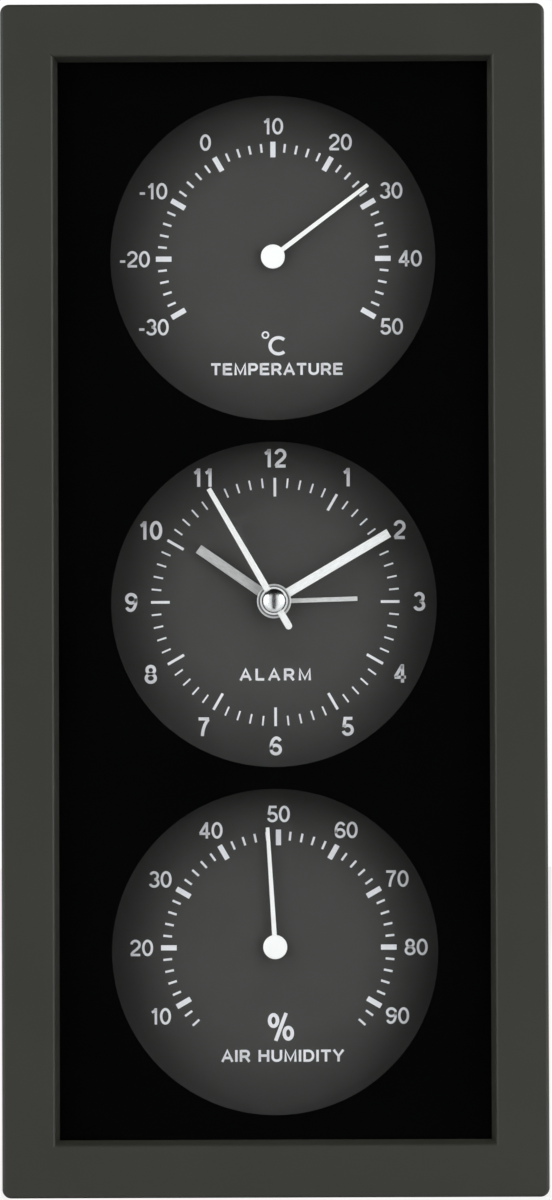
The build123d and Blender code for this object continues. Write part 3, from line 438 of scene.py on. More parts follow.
# %% Finishes of all the slots
border_ink = moulded(
    "border_ink", (0.0012, 0.0012, 0.0012), 0.08, grain=0.4 * mm, relief=0.0002 * mm, strength=0.02,
)
border_ink.node_tree.nodes["Principled BSDF"].inputs["Specular IOR Level"].default_value = 0.2
paint_film = {"grain": 0.15 * mm, "relief": 0.006 * mm, "strength": 0.2}
sleeve_print = {"grain": 0.3 * mm, "relief": 0.006 * mm, "strength": 0.1}
slot_finishes = {
    "case": moulded("case_plastic", (0.0290, 0.0296, 0.0234), 0.46),
    "pane": clear_pane("pane_plastic"),
    "border": border_ink,
    "tape": moulded("foam_tape", (0.02, 0.02, 0.02), 0.8, grain=0.3 * mm, relief=0.05 * mm, strength=0.5),
    "carrier": moulded("carrier_plastic", (0.012, 0.012, 0.012), 0.55),
    "dial": shaded_dial_inks["clock_dial"],
    "bright_hand": brushed("bright_hand_metal", (0.80, 0.80, 0.82), 0.42, 0.55),
    "grey_hand": brushed("grey_hand_metal", (0.42, 0.42, 0.42), 0.42, 0.55),
    "cap": brushed("cap_chrome", (0.86, 0.87, 0.88), 0.18),
    "needle": moulded("needle_paint", (0.93, 0.93, 0.92), 0.4, **paint_film),
    "steel": brushed("spindle_steel", (0.56, 0.56, 0.57), 0.3),
    "wheel_plastic": moulded("wheel_resin", (0.72, 0.70, 0.64), 0.45),
    "magnet": brushed("stator_iron", (0.34, 0.33, 0.33), 0.4),
    "setting": moulded("setting_resin", (0.60, 0.58, 0.52), 0.45),
    "knob": moulded("knob_plastic", (0.022, 0.022, 0.022), 0.42),
    "movement": moulded("movement_plastic", (0.014, 0.014, 0.015), 0.48),
    "bobbin": moulded("bobbin_resin", (0.62, 0.60, 0.52), 0.5),
    "copper": brushed("winding_copper", (0.72, 0.33, 0.16), 0.3, angle=90, line=0.12 * mm, run=6 * mm),
    "board": moulded("board_laminate", (0.05, 0.16, 0.07), 0.45, grain=0.4 * mm, strength=0.3),
    "buzzer": moulded("buzzer_plastic", (0.016, 0.016, 0.016), 0.4),
    "can": brushed("crystal_can", (0.66, 0.66, 0.66), 0.25),
    "contact": brushed("contact_nickel", (0.68, 0.67, 0.63), 0.28),
    "battery": moulded("battery_sleeve", (0.10, 0.11, 0.12), 0.3, **sleeve_print),
    "bimetal": brushed("bimetal_strip", (0.60, 0.50, 0.36), 0.34),
    "humidity_strip": brushed("coated_strip", (0.52, 0.50, 0.44), 0.5, 0.4),
    "bracket": brushed("bracket_brass", (0.62, 0.50, 0.26), 0.35),
}
slot_of = {part["node"]: part["material_slot"] for part in frame["record"]["subparts"]}
for node_name, node in nodes.items():
    node.data.materials.clear()
    node.data.materials.append(shaded_dial_inks.get(node_name, slot_finishes[slot_of[node_name]]))
print("Finishes:", len(slot_finishes), "on nodes:", len(slot_of))

# %% [markdown]
# ## Edges that catch the light
# A CAD solid has perfectly sharp edges, and a moulded part never does. The solids could be filleted in
# CAD at the cost of many facets. Here a copy of each visible part is merged into clean faces, and a Bevel
# modifier rounds its edges by a tenth of a millimetre or so. The copy then stands for the CAD node.

# %% Rounded copies of the visible parts
merge_distance = 0.002 * mm
flat_degrees = 0.6
corner_degrees = 38
crisp_degrees = 40


def soft_edged(node_name, edge, segments=3, finish=None, front_gap=0.0):
    """A copy of a CAD node with rounded edges, which stands for it. Its front may be set back by a gap."""
    low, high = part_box(node_name)
    depth_share = 1 - front_gap / (high.y - low.y)
    form = bmesh.new()
    form.from_mesh(nodes[node_name].data)
    for corner in form.verts:
        corner.co.y = high.y + (corner.co.y - high.y) * depth_share
    bmesh.ops.remove_doubles(form, verts=form.verts, dist=merge_distance)
    bmesh.ops.dissolve_limit(form, angle_limit=radians(flat_degrees), verts=form.verts, edges=form.edges)
    mesh = bpy.data.meshes.new(node_name + "_skin")
    form.to_mesh(mesh)
    form.free()
    piece = new_piece(node_name + "_skin", mesh, finish or slot_finishes[slot_of[node_name]])
    rounding = piece.modifiers.new("rounding", "BEVEL")
    rounding.width = edge
    rounding.segments = segments
    rounding.limit_method = "ANGLE"
    rounding.angle_limit = radians(corner_degrees)
    rounding.use_clamp_overlap = False
    settle(piece)
    smooth_by_angle(piece.data, crisp_degrees)
    flatness = piece.modifiers.new("flatness", "WEIGHTED_NORMAL")
    flatness.keep_sharp = True
    settle(piece)
    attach(piece, nodes[node_name]["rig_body"])
    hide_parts(node_name)
    return piece


edge_sizes = {
    "front_frame": 0.10 * mm,
    "rear_cover": 0.20 * mm,
    "movement_case": 0.15 * mm,
    "time_set_knob": 0.20 * mm,
    "alarm_set_knob": 0.20 * mm,
    "alarm_switch": 0.20 * mm,
}
for node_name, edge in edge_sizes.items():
    piece = soft_edged(node_name, edge)
    print(piece.name, len(piece.data.polygons), "faces")

# %% [markdown]
# The black border touches the pane in CAD, because it is printed on it. Two faces in one place confuse the
# light, so the copy's front stands a hair behind the pane.

# %% Black border
border = soft_edged("window_mask", 0.02 * mm, 1, front_gap=0.02 * mm)
print(border.name, len(border.data.polygons), "faces")

# %% [markdown]
# ## Hands and needles
# The clock hands are stamped from sheet and brushed along their length, and the two needles are painted
# white. Each hand points its own way, so each gets its own brushing angle. Their outlines are right in
# CAD, so a copy with finely rounded edges is enough.

# %% Hands
hand_looks = {
    "hour_hand": (304.96, (0.42, 0.42, 0.42), 0.45),
    "minute_hand": (59.5, (0.97, 0.97, 0.99), 0.42),
    "second_hand": (330.0, (1.0, 1.0, 1.0), 0.40),
    "alarm_hand": (88.3, (0.61, 0.61, 0.61), 0.45),
}
hand_edge = 0.05 * mm
hand_metallic = 0.06
hand_line = 0.16 * mm
hand_run = 0.9 * mm
hand_spread = 0.34
for node_name, (angle, colour, roughness) in hand_looks.items():
    sheet = brushed(
        node_name + "_metal", colour, roughness, hand_metallic, angle, clock_hub,
        line=hand_line, run=hand_run, spread=hand_spread,
    )
    piece = soft_edged(node_name, hand_edge, segments=2, finish=sheet)
    print(piece.name, len(piece.data.polygons), "faces")
for node_name in ("thermometer_needle", "hygrometer_needle"):
    piece = soft_edged(node_name, hand_edge, segments=2)
    print(piece.name, len(piece.data.polygons), "faces")

# %% [markdown]
# ## Turned pieces
# The chrome cap on the second hand and the battery are bodies of revolution. A Screw modifier would do,
# but a short loop over a profile keeps every ring under control and closes the poles properly.

# %% Turned cap of the second hand
def turned(name, profile, origin, axis, finish, steps=96):
    """A closed body of revolution. The profile gives (distance along the axis, radius)."""
    form = bmesh.new()
    side = axis.orthogonal().normalized()
    other = axis.cross(side)
    rings = []
    for along, radius in profile:
        centre = origin + axis * along
        if radius == 0:
            rings.append([form.verts.new(centre)])
            continue
        angles = [2 * pi * step / steps for step in range(steps)]
        rings.append([form.verts.new(centre + (side * cos(a) + other * sin(a)) * radius) for a in angles])
    for first, second in zip(rings, rings[1:]):
        for step in range(steps):
            after = (step + 1) % steps
            corners = [first[step % len(first)], first[after % len(first)]]
            corners += [second[after % len(second)], second[step % len(second)]]
            form.faces.new(list(dict.fromkeys(corners)))
    bmesh.ops.remove_doubles(form, verts=form.verts, dist=0.0002 * mm)
    bmesh.ops.recalc_face_normals(form, faces=form.faces)
    mesh = bpy.data.meshes.new(name)
    form.to_mesh(mesh)
    form.free()
    smooth_by_angle(mesh)
    return new_piece(name, mesh, finish)


cap_low, cap_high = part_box("second_hand_cap")
cap_radius = (cap_high.x - cap_low.x) / 2
cap_height = cap_high.y - cap_low.y
cap_rim = 0.15 * mm
dome_steps = 14
cap_profile = [(0, 0), (0, cap_radius)]
for step in range(dome_steps):
    rise = pi / 2 * step / dome_steps
    cap_profile.append((cap_rim + (cap_height - cap_rim) * sin(rise), cap_radius * cos(rise)))
cap_profile.append((cap_height, 0))
cap_back = Vector(((cap_low.x + cap_high.x) / 2, cap_high.y, (cap_low.z + cap_high.z) / 2))
cap = turned("cap_dome", cap_profile, cap_back, Vector((0, -1, 0)), slot_finishes["cap"])
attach(cap, "second")
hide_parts("second_hand_cap")
print("Cap rings:", len(cap_profile))

# %% [markdown]
# The eye of the minute hand is pressed with a raised rim. Its floor is darker, as painted shade from the
# second hand's hub above it. Its profile starts and ends at the same point, so the same turning loop closes
# it into a ring.

# %% Pressed eye of the minute hand
eye_bore = 2.32 * mm
eye_floor = 2.53 * mm
eye_radius = 2.85 * mm
eye_sink = -0.01 * mm
floor_rise = 0.03 * mm
rim_rise = 0.20 * mm
eye_profile = [
    (eye_sink, eye_bore), (floor_rise, eye_bore), (floor_rise, eye_floor), (0.16 * mm, 2.60 * mm),
    (rim_rise, 2.66 * mm), (rim_rise, 2.76 * mm), (0.15 * mm, 2.83 * mm), (0.08 * mm, eye_radius),
    (eye_sink, eye_radius), (eye_sink, eye_bore),
]
eye_front = Vector((clock_hub.x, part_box("minute_hand")[0].y, clock_hub.z))
eye_rim = brushed("eye_rim_metal", (0.86, 0.86, 0.87), 0.3, 0.6)
eye = turned("minute_hand_eye", eye_profile, eye_front, Vector((0, -1, 0)), eye_rim)
# The darker floor finish is painted shade from the second hand's hub above the eye.
eye.data.materials.append(brushed("eye_floor_painted_shade", (0.20, 0.20, 0.20), 0.45, 0.4))
for face in eye.data.polygons:
    from_axis = ((face.center.x - eye_front.x) ** 2 + (face.center.z - eye_front.z) ** 2) ** 0.5
    face.material_index = 1 if from_axis < eye_floor else 0
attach(eye, "minute")
print("Eye faces:", len(eye.data.polygons))

# %% [markdown]
# A battery is a steel can in a printed sleeve, with an insulating ring round its nub. Seen end on, its
# grooves are what makes it look real, so the profile has them all.

# %% Turned battery
cell_low, cell_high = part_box("battery")
cell_radius = (cell_high.z - cell_low.z) / 2
cell_length = cell_high.x - cell_low.x
cell_end = Vector((cell_low.x, (cell_low.y + cell_high.y) / 2, (cell_low.z + cell_high.z) / 2))
nub_radius = 2.75 * mm
nub_length = 1.3 * mm
sleeve_lip = 0.35 * mm
band_length = 11 * mm
shoulder = cell_length - nub_length
cell_profile = [
    (0.25 * mm, 0), (0.25 * mm, 4.6 * mm), (0.05 * mm, 4.9 * mm), (0.05 * mm, 5.3 * mm),
    (0.3 * mm, 5.6 * mm), (0.3 * mm, 6.2 * mm), (0, 6.4 * mm), (0, cell_radius - sleeve_lip),
    (0.1 * mm, cell_radius - 0.1 * mm), (sleeve_lip, cell_radius),
    (shoulder - band_length, cell_radius), (shoulder - sleeve_lip, cell_radius),
    (shoulder - 0.1 * mm, cell_radius - 0.1 * mm), (shoulder, cell_radius - sleeve_lip),
    (shoulder, 6.3 * mm), (shoulder - 0.3 * mm, 6.1 * mm), (shoulder - 0.3 * mm, 3.6 * mm),
    (shoulder, nub_radius + 0.1 * mm), (shoulder + 0.2 * mm, nub_radius),
    (cell_length - 0.25 * mm, nub_radius), (cell_length - 0.07 * mm, nub_radius - 0.1 * mm),
    (cell_length, nub_radius - 0.35 * mm), (cell_length, 0),
]
cell = turned("battery_cell", cell_profile, cell_end, Vector((1, 0, 0)), slot_finishes["battery"])
print("Battery rings:", len(cell_profile))

# %% [markdown]
# The turned body gets all four finishes, and each face takes the one for its place along the cell and its
# distance from the axis. Four pieces would do as well, but they would have seams between them.

# %% Finishes of the battery
ring_inner = 3.5 * mm
cell.data.materials.append(moulded("battery_band", (0.52, 0.40, 0.20), 0.28, **sleeve_print))
cell.data.materials.append(brushed("battery_steel", (0.62, 0.62, 0.62), 0.25))
cell.data.materials.append(moulded("battery_ring", (0.60, 0.59, 0.55), 0.5))
sleeve_index, band_index, steel_index, ring_index = range(4)
for face in cell.data.polygons:
    along = face.center.x - cell_end.x
    from_axis = ((face.center.y - cell_end.y) ** 2 + (face.center.z - cell_end.z) ** 2) ** 0.5
    face.material_index = sleeve_index
    if from_axis < cell_radius - 2 * sleeve_lip:
        on_ring = along > cell_length / 2 and from_axis > ring_inner
        face.material_index = ring_index if on_ring else steel_index
    elif along > shoulder - band_length:
        face.material_index = band_index
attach(cell, "battery")
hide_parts("battery")
print("Battery finishes:", len(cell.data.materials))

# %% [markdown]
# ## Printed scales
# Each dial is screen printed with rings of strokes. Hundreds of boxes could be placed in a loop, but one
# Geometry Nodes tree makes any such scale. A tree starts with named inputs, and it ends by making its
# instances real and giving them a finish, because the export takes plain meshes only.

# %% Start, end and result of a Geometry Nodes tree
def new_tree(name, inputs):
    """A Geometry Nodes tree, and the sockets of its named inputs."""
    tree = bpy.data.node_groups.new(name, "GeometryNodeTree")
    for label, kind in inputs.items():
        tree.interface.new_socket(name=label, in_out="INPUT", socket_type="NodeSocket" + kind)
    tree.interface.new_socket(name="Geometry", in_out="OUTPUT", socket_type="NodeSocketGeometry")
    return tree, tree.nodes.new("NodeGroupInput").outputs


def end_tree(tree, instances, finish):
    """Ends a tree with all its instances as one real mesh in a finish."""
    solid = add_node(tree, "GeometryNodeRealizeInstances", {"Geometry": instances})
    finished = add_node(tree, "GeometryNodeSetMaterial", {"Geometry": solid.outputs[0], "Material": finish})
    add_node(tree, "NodeGroupOutput", {"Geometry": finished.outputs[0]})


def from_tree(name, tree, values):
    """A piece with a plain mesh, made by a tree with the given inputs."""
    host = new_piece(name, bpy.data.meshes.new(name))
    grower = host.modifiers.new("grower", "NODES")
    grower.node_group = tree
    for item in tree.interface.items_tree:
        if item.in_out == "INPUT":
            grower[item.identifier] = values[item.name]
    settle(host)
    return host


print("Tree helpers ready")

# %% [markdown]
# The scale's tree spreads points round the hub, puts a stroke on each, and makes every fifth one longer and
# wider. Its inputs are the sizes that a printer would be given.

# %% Geometry Nodes tree for a scale
def scale_tree():
    """A tree that prints a ring of short strokes with a long stroke at each group's start."""
    tree, given = new_tree("printed_scale", {
        "Strokes": "Int", "First angle": "Float", "Angle step": "Float", "Group": "Int",
        "Group start": "Int", "Outer radius": "Float", "Short inset": "Float", "Short length": "Float",
        "Long inset": "Float", "Long length": "Float", "Short width": "Float", "Long width": "Float",
        "Ink thickness": "Float", "Centre": "Vector", "Ink": "Material",
    })

    def stroke_size(size):
        """One size of a stroke, as the inputs give it for long and short strokes."""
        choice = {"Switch": is_long, "False": given["Short " + size], "True": given["Long " + size]}
        return add_node(tree, "GeometryNodeSwitch", choice, input_type="FLOAT").outputs[0]

    index = add_node(tree, "GeometryNodeInputIndex").outputs[0]
    in_group = maths(tree, "MODULO", maths(tree, "ADD", index, given["Group start"]), given["Group"])
    is_long = maths(tree, "LESS_THAN", in_group, 0.5)
    angle = maths(tree, "MULTIPLY_ADD", index, given["Angle step"], given["First angle"])
    length = stroke_size("length")
    outer = maths(tree, "SUBTRACT", given["Outer radius"], stroke_size("inset"))
    middle = maths(tree, "SUBTRACT", outer, maths(tree, "MULTIPLY", length, 0.5))
    across = maths(tree, "MULTIPLY", middle, maths(tree, "SINE", angle))
    up = maths(tree, "MULTIPLY", middle, maths(tree, "COSINE", angle))
    place = add_node(tree, "ShaderNodeCombineXYZ", {"X": across, "Z": up})
    on_dial = add_node(
        tree, "ShaderNodeVectorMath", {0: place.outputs[0], 1: given["Centre"]}, operation="ADD",
    )
    points = add_node(tree, "GeometryNodePoints", {"Count": given["Strokes"], "Position": on_dial.outputs[0]})
    size = add_node(
        tree, "ShaderNodeCombineXYZ", {"X": stroke_size("width"), "Y": given["Ink thickness"], "Z": length},
    )
    turn = add_node(tree, "ShaderNodeCombineXYZ", {"Y": angle})
    stroke = add_node(tree, "GeometryNodeMeshCube", {"Size": (1, 1, 1)})
    strokes = add_node(
        tree, "GeometryNodeInstanceOnPoints",
        {
            "Points": points.outputs[0], "Instance": stroke.outputs["Mesh"],
            "Rotation": turn.outputs[0], "Scale": size.outputs[0],
        },
    )
    end_tree(tree, strokes.outputs[0], given["Ink"])
    return tree


printed_scale = scale_tree()
print("Scale tree nodes:", len(printed_scale.nodes))

# %% [markdown]
# The numerals are plain ones, as a sign maker draws them: strokes of one pen width along straight lines and
# bows. A text object would need a font, so a small alphabet of strokes is written here instead. Each
# character stands in a box one unit high, and gives its width and its strokes.

# %% A pen alphabet
def bow(x, y, across, up, start, end):
    """Points along part of an ellipse, with its angles in degrees from the right, counter-clockwise."""
    steps = max(2, round(abs(end - start) / 11))
    angles = [radians(start + (end - start) * step / steps) for step in range(steps + 1)]
    return [(x + across * cos(a), y + up * sin(a)) for a in angles]


six = [bow(0.325, 0.30, 0.25, 0.235, 0, 360), bow(0.36, 0.45, 0.285, 0.485, 200, 42)]
alphabet = {
    "0": (0.64, [bow(0.32, 0.5, 0.255, 0.435, 0, 360)]),
    "1": (0.50, [[(0.33, 1.0), (0.33, 0.0)], [(0.10, 0.74), (0.21, 0.80), (0.28, 0.88), (0.32, 0.97)]]),
    "2": (0.64, [
        bow(0.32, 0.685, 0.24, 0.25, 172, -30) + [(0.40, 0.42), (0.20, 0.26), (0.11, 0.15), (0.08, 0.065)],
        [(0.045, 0.065), (0.60, 0.065)],
    ]),
    "3": (0.62, [bow(0.31, 0.715, 0.215, 0.22, 160, -85), bow(0.31, 0.285, 0.245, 0.22, 85, -165)]),
    "4": (0.66, [[(0.44, 0.95), (0.06, 0.31)], [(0.02, 0.295), (0.64, 0.295)], [(0.455, 1.0), (0.455, 0.0)]]),
    "5": (0.63, [
        [(0.57, 0.935), (0.175, 0.935), (0.105, 0.46)],
        bow(0.315, 0.31, 0.25, 0.245, 142, -165),
    ]),
    "6": (0.64, six),
    "7": (0.63, [
        [(0.04, 0.935), (0.61, 0.935)],
        [(0.575, 0.91), (0.48, 0.79), (0.38, 0.61), (0.30, 0.38), (0.26, 0.18), (0.245, 0.0)],
    ]),
    "8": (0.64, [bow(0.32, 0.73, 0.205, 0.205, 0, 360), bow(0.32, 0.285, 0.25, 0.22, 0, 360)]),
    "9": (0.64, [[(0.64 - x, 1 - y) for x, y in stroke] for stroke in six]),
    "-": (0.36, [[(0.03, 0.36), (0.34, 0.36)]]),
    "+": (0.80, [[(0.0, 0.5), (0.80, 0.5)], [(0.40, 0.1), (0.40, 0.9)]]),
    " ": (0.30, []),
    "%": (1.0, [
        bow(0.22, 0.73, 0.15, 0.205, 0, 360), bow(0.78, 0.27, 0.15, 0.205, 0, 360),
        [(0.30, 0.0), (0.70, 1.0)],
    ]),
    "C": (0.86, [bow(0.45, 0.5, 0.38, 0.43, 48, 312)]),
    "o": (1.0, [bow(0.5, 0.5, 0.4, 0.4, 0, 360)]),
    "A": (0.90, [[(0.04, 0.0), (0.45, 0.96), (0.86, 0.0)], [(0.19, 0.33), (0.71, 0.33)]]),
    "D": (0.86, [
        [(0.09, 0.085), (0.09, 0.915), (0.42, 0.915)]
        + bow(0.42, 0.5, 0.36, 0.415, 78, -90) + [(0.09, 0.085)],
    ]),
    "E": (0.78, [
        [(0.09, 0.0), (0.09, 1.0)], [(0.09, 0.915), (0.76, 0.915)],
        [(0.09, 0.51), (0.70, 0.51)], [(0.09, 0.085), (0.78, 0.085)],
    ]),
    "F": (0.72, [[(0.09, 0.0), (0.09, 1.0)], [(0.09, 0.915), (0.72, 0.915)], [(0.09, 0.49), (0.64, 0.49)]]),
    "H": (0.86, [[(0.09, 0.0), (0.09, 1.0)], [(0.77, 0.0), (0.77, 1.0)], [(0.09, 0.52), (0.77, 0.52)]]),
    "I": (0.18, [[(0.09, 0.0), (0.09, 1.0)]]),
    "L": (0.70, [[(0.09, 1.0), (0.09, 0.0)], [(0.09, 0.085), (0.70, 0.085)]]),
    "M": (0.98, [[(0.09, 0.0), (0.09, 0.95), (0.49, 0.12), (0.89, 0.95), (0.89, 0.0)]]),
    "N": (0.86, [[(0.09, 0.0), (0.09, 0.96), (0.77, 0.04), (0.77, 1.0)]]),
    "O": (0.94, [bow(0.47, 0.5, 0.38, 0.43, 0, 360)]),
    "P": (0.78, [
        [(0.09, 0.0), (0.09, 1.0)],
        [(0.09, 0.915), (0.46, 0.915)] + bow(0.46, 0.675, 0.24, 0.24, 75, -90) + [(0.09, 0.435)],
    ]),
    "R": (0.84, [
        [(0.09, 0.0), (0.09, 1.0)], [(0.46, 0.435), (0.78, 0.0)],
        [(0.09, 0.915), (0.48, 0.915)] + bow(0.48, 0.675, 0.24, 0.24, 75, -90) + [(0.09, 0.435)],
    ]),
    "T": (0.80, [[(0.0, 0.915), (0.80, 0.915)], [(0.40, 0.915), (0.40, 0.0)]]),
    "U": (0.86, [[(0.09, 1.0)] + bow(0.43, 0.37, 0.34, 0.285, 180, 360) + [(0.77, 1.0)]]),
    "Y": (0.86, [[(0.04, 1.0), (0.43, 0.46), (0.82, 1.0)], [(0.43, 0.46), (0.43, 0.0)]]),
}
print("Characters:", "".join(alphabet))

# %% [markdown]
# Ink lies on the dial as a film. A flat decal would need a texture, so each stroke becomes a thin closed
# ribbon along its points, mitred at the corners, and sunk a hair into the dial so that no gap can show.

# %% Ribbons of ink
ink = moulded("scale_ink", (0.76, 0.76, 0.80), 0.55, grain=0.1 * mm, relief=0.004 * mm, strength=0.2)
ink_thickness = 0.03 * mm
ink_sink = 0.005 * mm
mitre_limit = 0.75


def ribbon(form, points, half):
    """A flat closed strip of ink along points in X and Z, as wide as the pen. A loop joins up with itself."""
    loop = (Vector(points[0]) - Vector(points[-1])).length < half / 100
    spine = [Vector(p) for p in (points[:-1] if loop else points)]
    count = len(spine)
    ranks = []
    for index, point in enumerate(spine):
        before = spine[index - 1] if loop or index else point
        after = spine[(index + 1) % count] if loop or index < count - 1 else point
        into = (point - before).normalized() if before != point else (after - point).normalized()
        out = (after - point).normalized() if after != point else into
        normal = Vector((-into.y - out.y, into.x + out.x)).normalized()
        reach = half / max(mitre_limit, normal.dot(Vector((-into.y, into.x))))
        left = point + normal * reach
        right = point - normal * reach
        corners = [(left, 0), (left, -ink_thickness), (right, -ink_thickness), (right, 0)]
        ranks.append([form.verts.new((spot.x, depth, spot.y)) for spot, depth in corners])
    pairs = list(zip(ranks, ranks[1:] + ranks[:1])) if loop else list(zip(ranks, ranks[1:]))
    for first, second in pairs:
        for side in range(4):
            form.faces.new((first[side], first[side - 1], second[side - 1], second[side]))
    if not loop:
        form.faces.new(ranks[0])
        form.faces.new(ranks[-1][::-1])


print("Ink thickness in mm:", ink_thickness / mm)

# %% [markdown]
# A word is a row of characters, set from its middle. All the print on one part is joined into one piece,
# because it is one film of ink. On the rear the row is turned about, so that it reads from behind.

# %% Words, and print as one piece
def printed_text(text, height, centre, face, pen=0.13, stretch=1.0, gap=0.2, behind=False):
    """A mesh of printed characters of a height, centred on a point of a face to the front, or behind."""
    widths = [alphabet[character][0] for character in text]
    total = sum(widths) + gap * (len(text) - 1)
    form = bmesh.new()
    start = -total / 2
    for character, width in zip(text, widths):
        for stroke in alphabet[character][1]:
            placed = [((start + x) * height * stretch, (y - 0.5) * height) for x, y in stroke]
            ribbon(form, placed, pen * height / 2)
        start += width + gap
    bmesh.ops.recalc_face_normals(form, faces=form.faces)
    mesh = bpy.data.meshes.new("print")
    form.to_mesh(mesh)
    form.free()
    if behind:
        mesh.transform(Matrix.Rotation(pi, 4, "Z"))
    sink = -ink_sink if behind else ink_sink
    mesh.transform(Matrix.Translation((centre[0], face + sink, centre[1])))
    return mesh


def print_on(name, carrier, meshes, finish=ink):
    """Joins all the print on one part into one piece that rides with it."""
    form = bmesh.new()
    for mesh in meshes:
        form.from_mesh(mesh)
        bpy.data.meshes.remove(mesh)
    bmesh.ops.remove_doubles(form, verts=form.verts, dist=0.0002 * mm)
    joined = bpy.data.meshes.new(name)
    form.to_mesh(joined)
    form.free()
    piece = new_piece(name, joined, finish)
    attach(piece, nodes[carrier]["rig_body"])
    print(name, len(joined.polygons), "faces")


print("Ink ready")

# %% [markdown]
# The printer set each dial's print a little off its hub, as the photograph shows, so every place on a dial is
# measured from the middle of its print: an angle from the top and a radius, as on a drawing of the dial.

# %% Places and scales on a dial
print_shifts = {
    "thermometer_dial": (0.07, -0.24),
    "clock_dial": (0.20, -0.07),
    "hygrometer_dial": (0.60, -0.10),
}


def print_centre(dial):
    """Middle of a dial's print. The shifts from its hub are in millimetres."""
    across, up = print_shifts[dial]
    return hub_of(dial) + Vector((across * mm, 0, up * mm))


def on_face(dial, angle, radius, shift=0.0):
    """Place on a dial at an angle in degrees and a radius, moved right by a shift, both in millimetres."""
    centre = print_centre(dial)
    turn = radians(angle)
    return (centre.x + radius * mm * sin(turn) + shift * mm, centre.z + radius * mm * cos(turn))


def scale_mesh(dial, strokes, first, step, group_start, outer, inset, short, long, thin, wide):
    """The strokes of one dial's scale, with angles in degrees from the top and sizes in millimetres."""
    centre = print_centre(dial) + Vector((0, ink_sink - ink_thickness / 2, 0))
    host = from_tree("scale", printed_scale, {
        "Strokes": strokes, "First angle": radians(first), "Angle step": radians(step), "Group": 5,
        "Group start": group_start, "Outer radius": outer * mm, "Short inset": inset * mm,
        "Short length": short * mm, "Long inset": 0.0, "Long length": long * mm,
        "Short width": thin * mm, "Long width": wide * mm,
        "Ink thickness": ink_thickness, "Centre": centre, "Ink": ink,
    })
    mesh = host.data
    bpy.data.objects.remove(host)
    return mesh


dial_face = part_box("clock_dial")[0].y
print("Dials with print:", len(print_shifts))

# %% [markdown]
# The two gauges are printed alike: a stroke at every second reading, a longer one and a numeral at every
# tenth, and three degrees of turn to each reading. The numerals stand outside the strokes, a little further
# out at the sides, where they are wider than tall.

# %% Strokes and numerals of a gauge
degree_step = 3.0
stroke_reading = 2
numeral_reading = 10
gauge_strokes = {"outer": 19.6, "inset": 0.28, "short": 1.45, "long": 2.6, "thin": 0.36, "wide": 0.86}
numeral_radius = 22.2
numeral_widening = 0.65
numeral_height = 2.7 * mm
numeral_type = {"pen": 0.15, "stretch": 1.04, "gap": 0.08}
minus_shift = -0.3


def gauge_print(dial, lowest, highest, upright):
    """The scale of a gauge from its lowest to its highest reading, with one reading upright at the top."""
    strokes = (highest - lowest) // stroke_reading + 1
    first = (lowest - upright) * degree_step
    group_start = lowest % numeral_reading // stroke_reading
    meshes = [scale_mesh(dial, strokes, first, stroke_reading * degree_step, group_start, **gauge_strokes)]
    for reading in range(lowest, highest + 1):
        if reading % numeral_reading:
            continue
        angle = (reading - upright) * degree_step
        radius = numeral_radius + numeral_widening * abs(sin(radians(angle)))
        spot = on_face(dial, angle, radius, minus_shift if reading < 0 else 0.0)
        meshes.append(printed_text(str(reading), numeral_height, spot, dial_face, **numeral_type))
    return meshes


print("Gauge numerals in mm:", numeral_height / mm)

# %% [markdown]
# The thermometer's scale runs from -30 to 50 degrees, with 10 at the top. The degree sign is a ring and a
# letter, and the word below it has a heavier pen.

# %% Thermometer print
word_height = 1.95 * mm
word_pen = 0.21
thermometer_print = gauge_print("thermometer_dial", lowest=-30, highest=50, upright=10)
letter_spot = on_face("thermometer_dial", 180, 14.55, 0.75)
ring_spot = on_face("thermometer_dial", 180, 12.75, -1.35)
word_spot = on_face("thermometer_dial", 180, 18.45, 0.55)
thermometer_print.append(printed_text("C", 3.15 * mm, letter_spot, dial_face, pen=0.17, stretch=1.18))
thermometer_print.append(printed_text("o", 1.25 * mm, ring_spot, dial_face, pen=0.22))
thermometer_print.append(
    printed_text("TEMPERATURE", word_height, word_spot, dial_face, word_pen, stretch=1.01),
)
print_on("thermometer_print", "thermometer_dial", thermometer_print)

# %% [markdown]
# The clock has sixty strokes, every fifth one longer, and twelve upright numerals outside them. One word
# stands above the six. The same tree prints the strokes, with other inputs.

# %% Clock print
minute_strokes = {"outer": 20.7, "inset": 0.0, "short": 1.6, "long": 3.1, "thin": 0.28, "wide": 0.44}
hour_radius = 24.0
hour_height = 3.05 * mm
clock_print = [scale_mesh("clock_dial", strokes=60, first=0, step=6, group_start=0, **minute_strokes)]
for hour in range(1, 13):
    spot = on_face("clock_dial", 30 * hour, hour_radius)
    clock_print.append(printed_text(str(hour), hour_height, spot, dial_face, pen=0.17, gap=0.12))
word_spot = on_face("clock_dial", 180, 12.1)
clock_print.append(printed_text("ALARM", word_height, word_spot, dial_face, word_pen, stretch=1.05, gap=0.36))
print_on("clock_print", "clock_dial", clock_print)

# %% [markdown]
# The hygrometer's scale runs from 6 to 94 percent, with 50 at the top, so its first stroke isn't a long one.
# The percent sign is the largest character on the front.

# %% Hygrometer print
hygrometer_print = gauge_print("hygrometer_dial", lowest=6, highest=94, upright=50)
sign_spot = on_face("hygrometer_dial", 180, 13.2, 0.3)
word_spot = on_face("hygrometer_dial", 180, 18.0, 0.6)
hygrometer_print.append(printed_text("%", 4.6 * mm, sign_spot, dial_face, stretch=0.95))
hygrometer_print.append(
    printed_text("AIR HUMIDITY", word_height, word_spot, dial_face, word_pen, stretch=1.04),
)
print_on("hygrometer_print", "hygrometer_dial", hygrometer_print)

# %% [markdown]
# ## The rear
# The photograph doesn't show the back, but such a clock has labels there: which knob sets what, which way
# the switch is on, and how the battery lies. They are printed with the same pen, turned to face the rear.

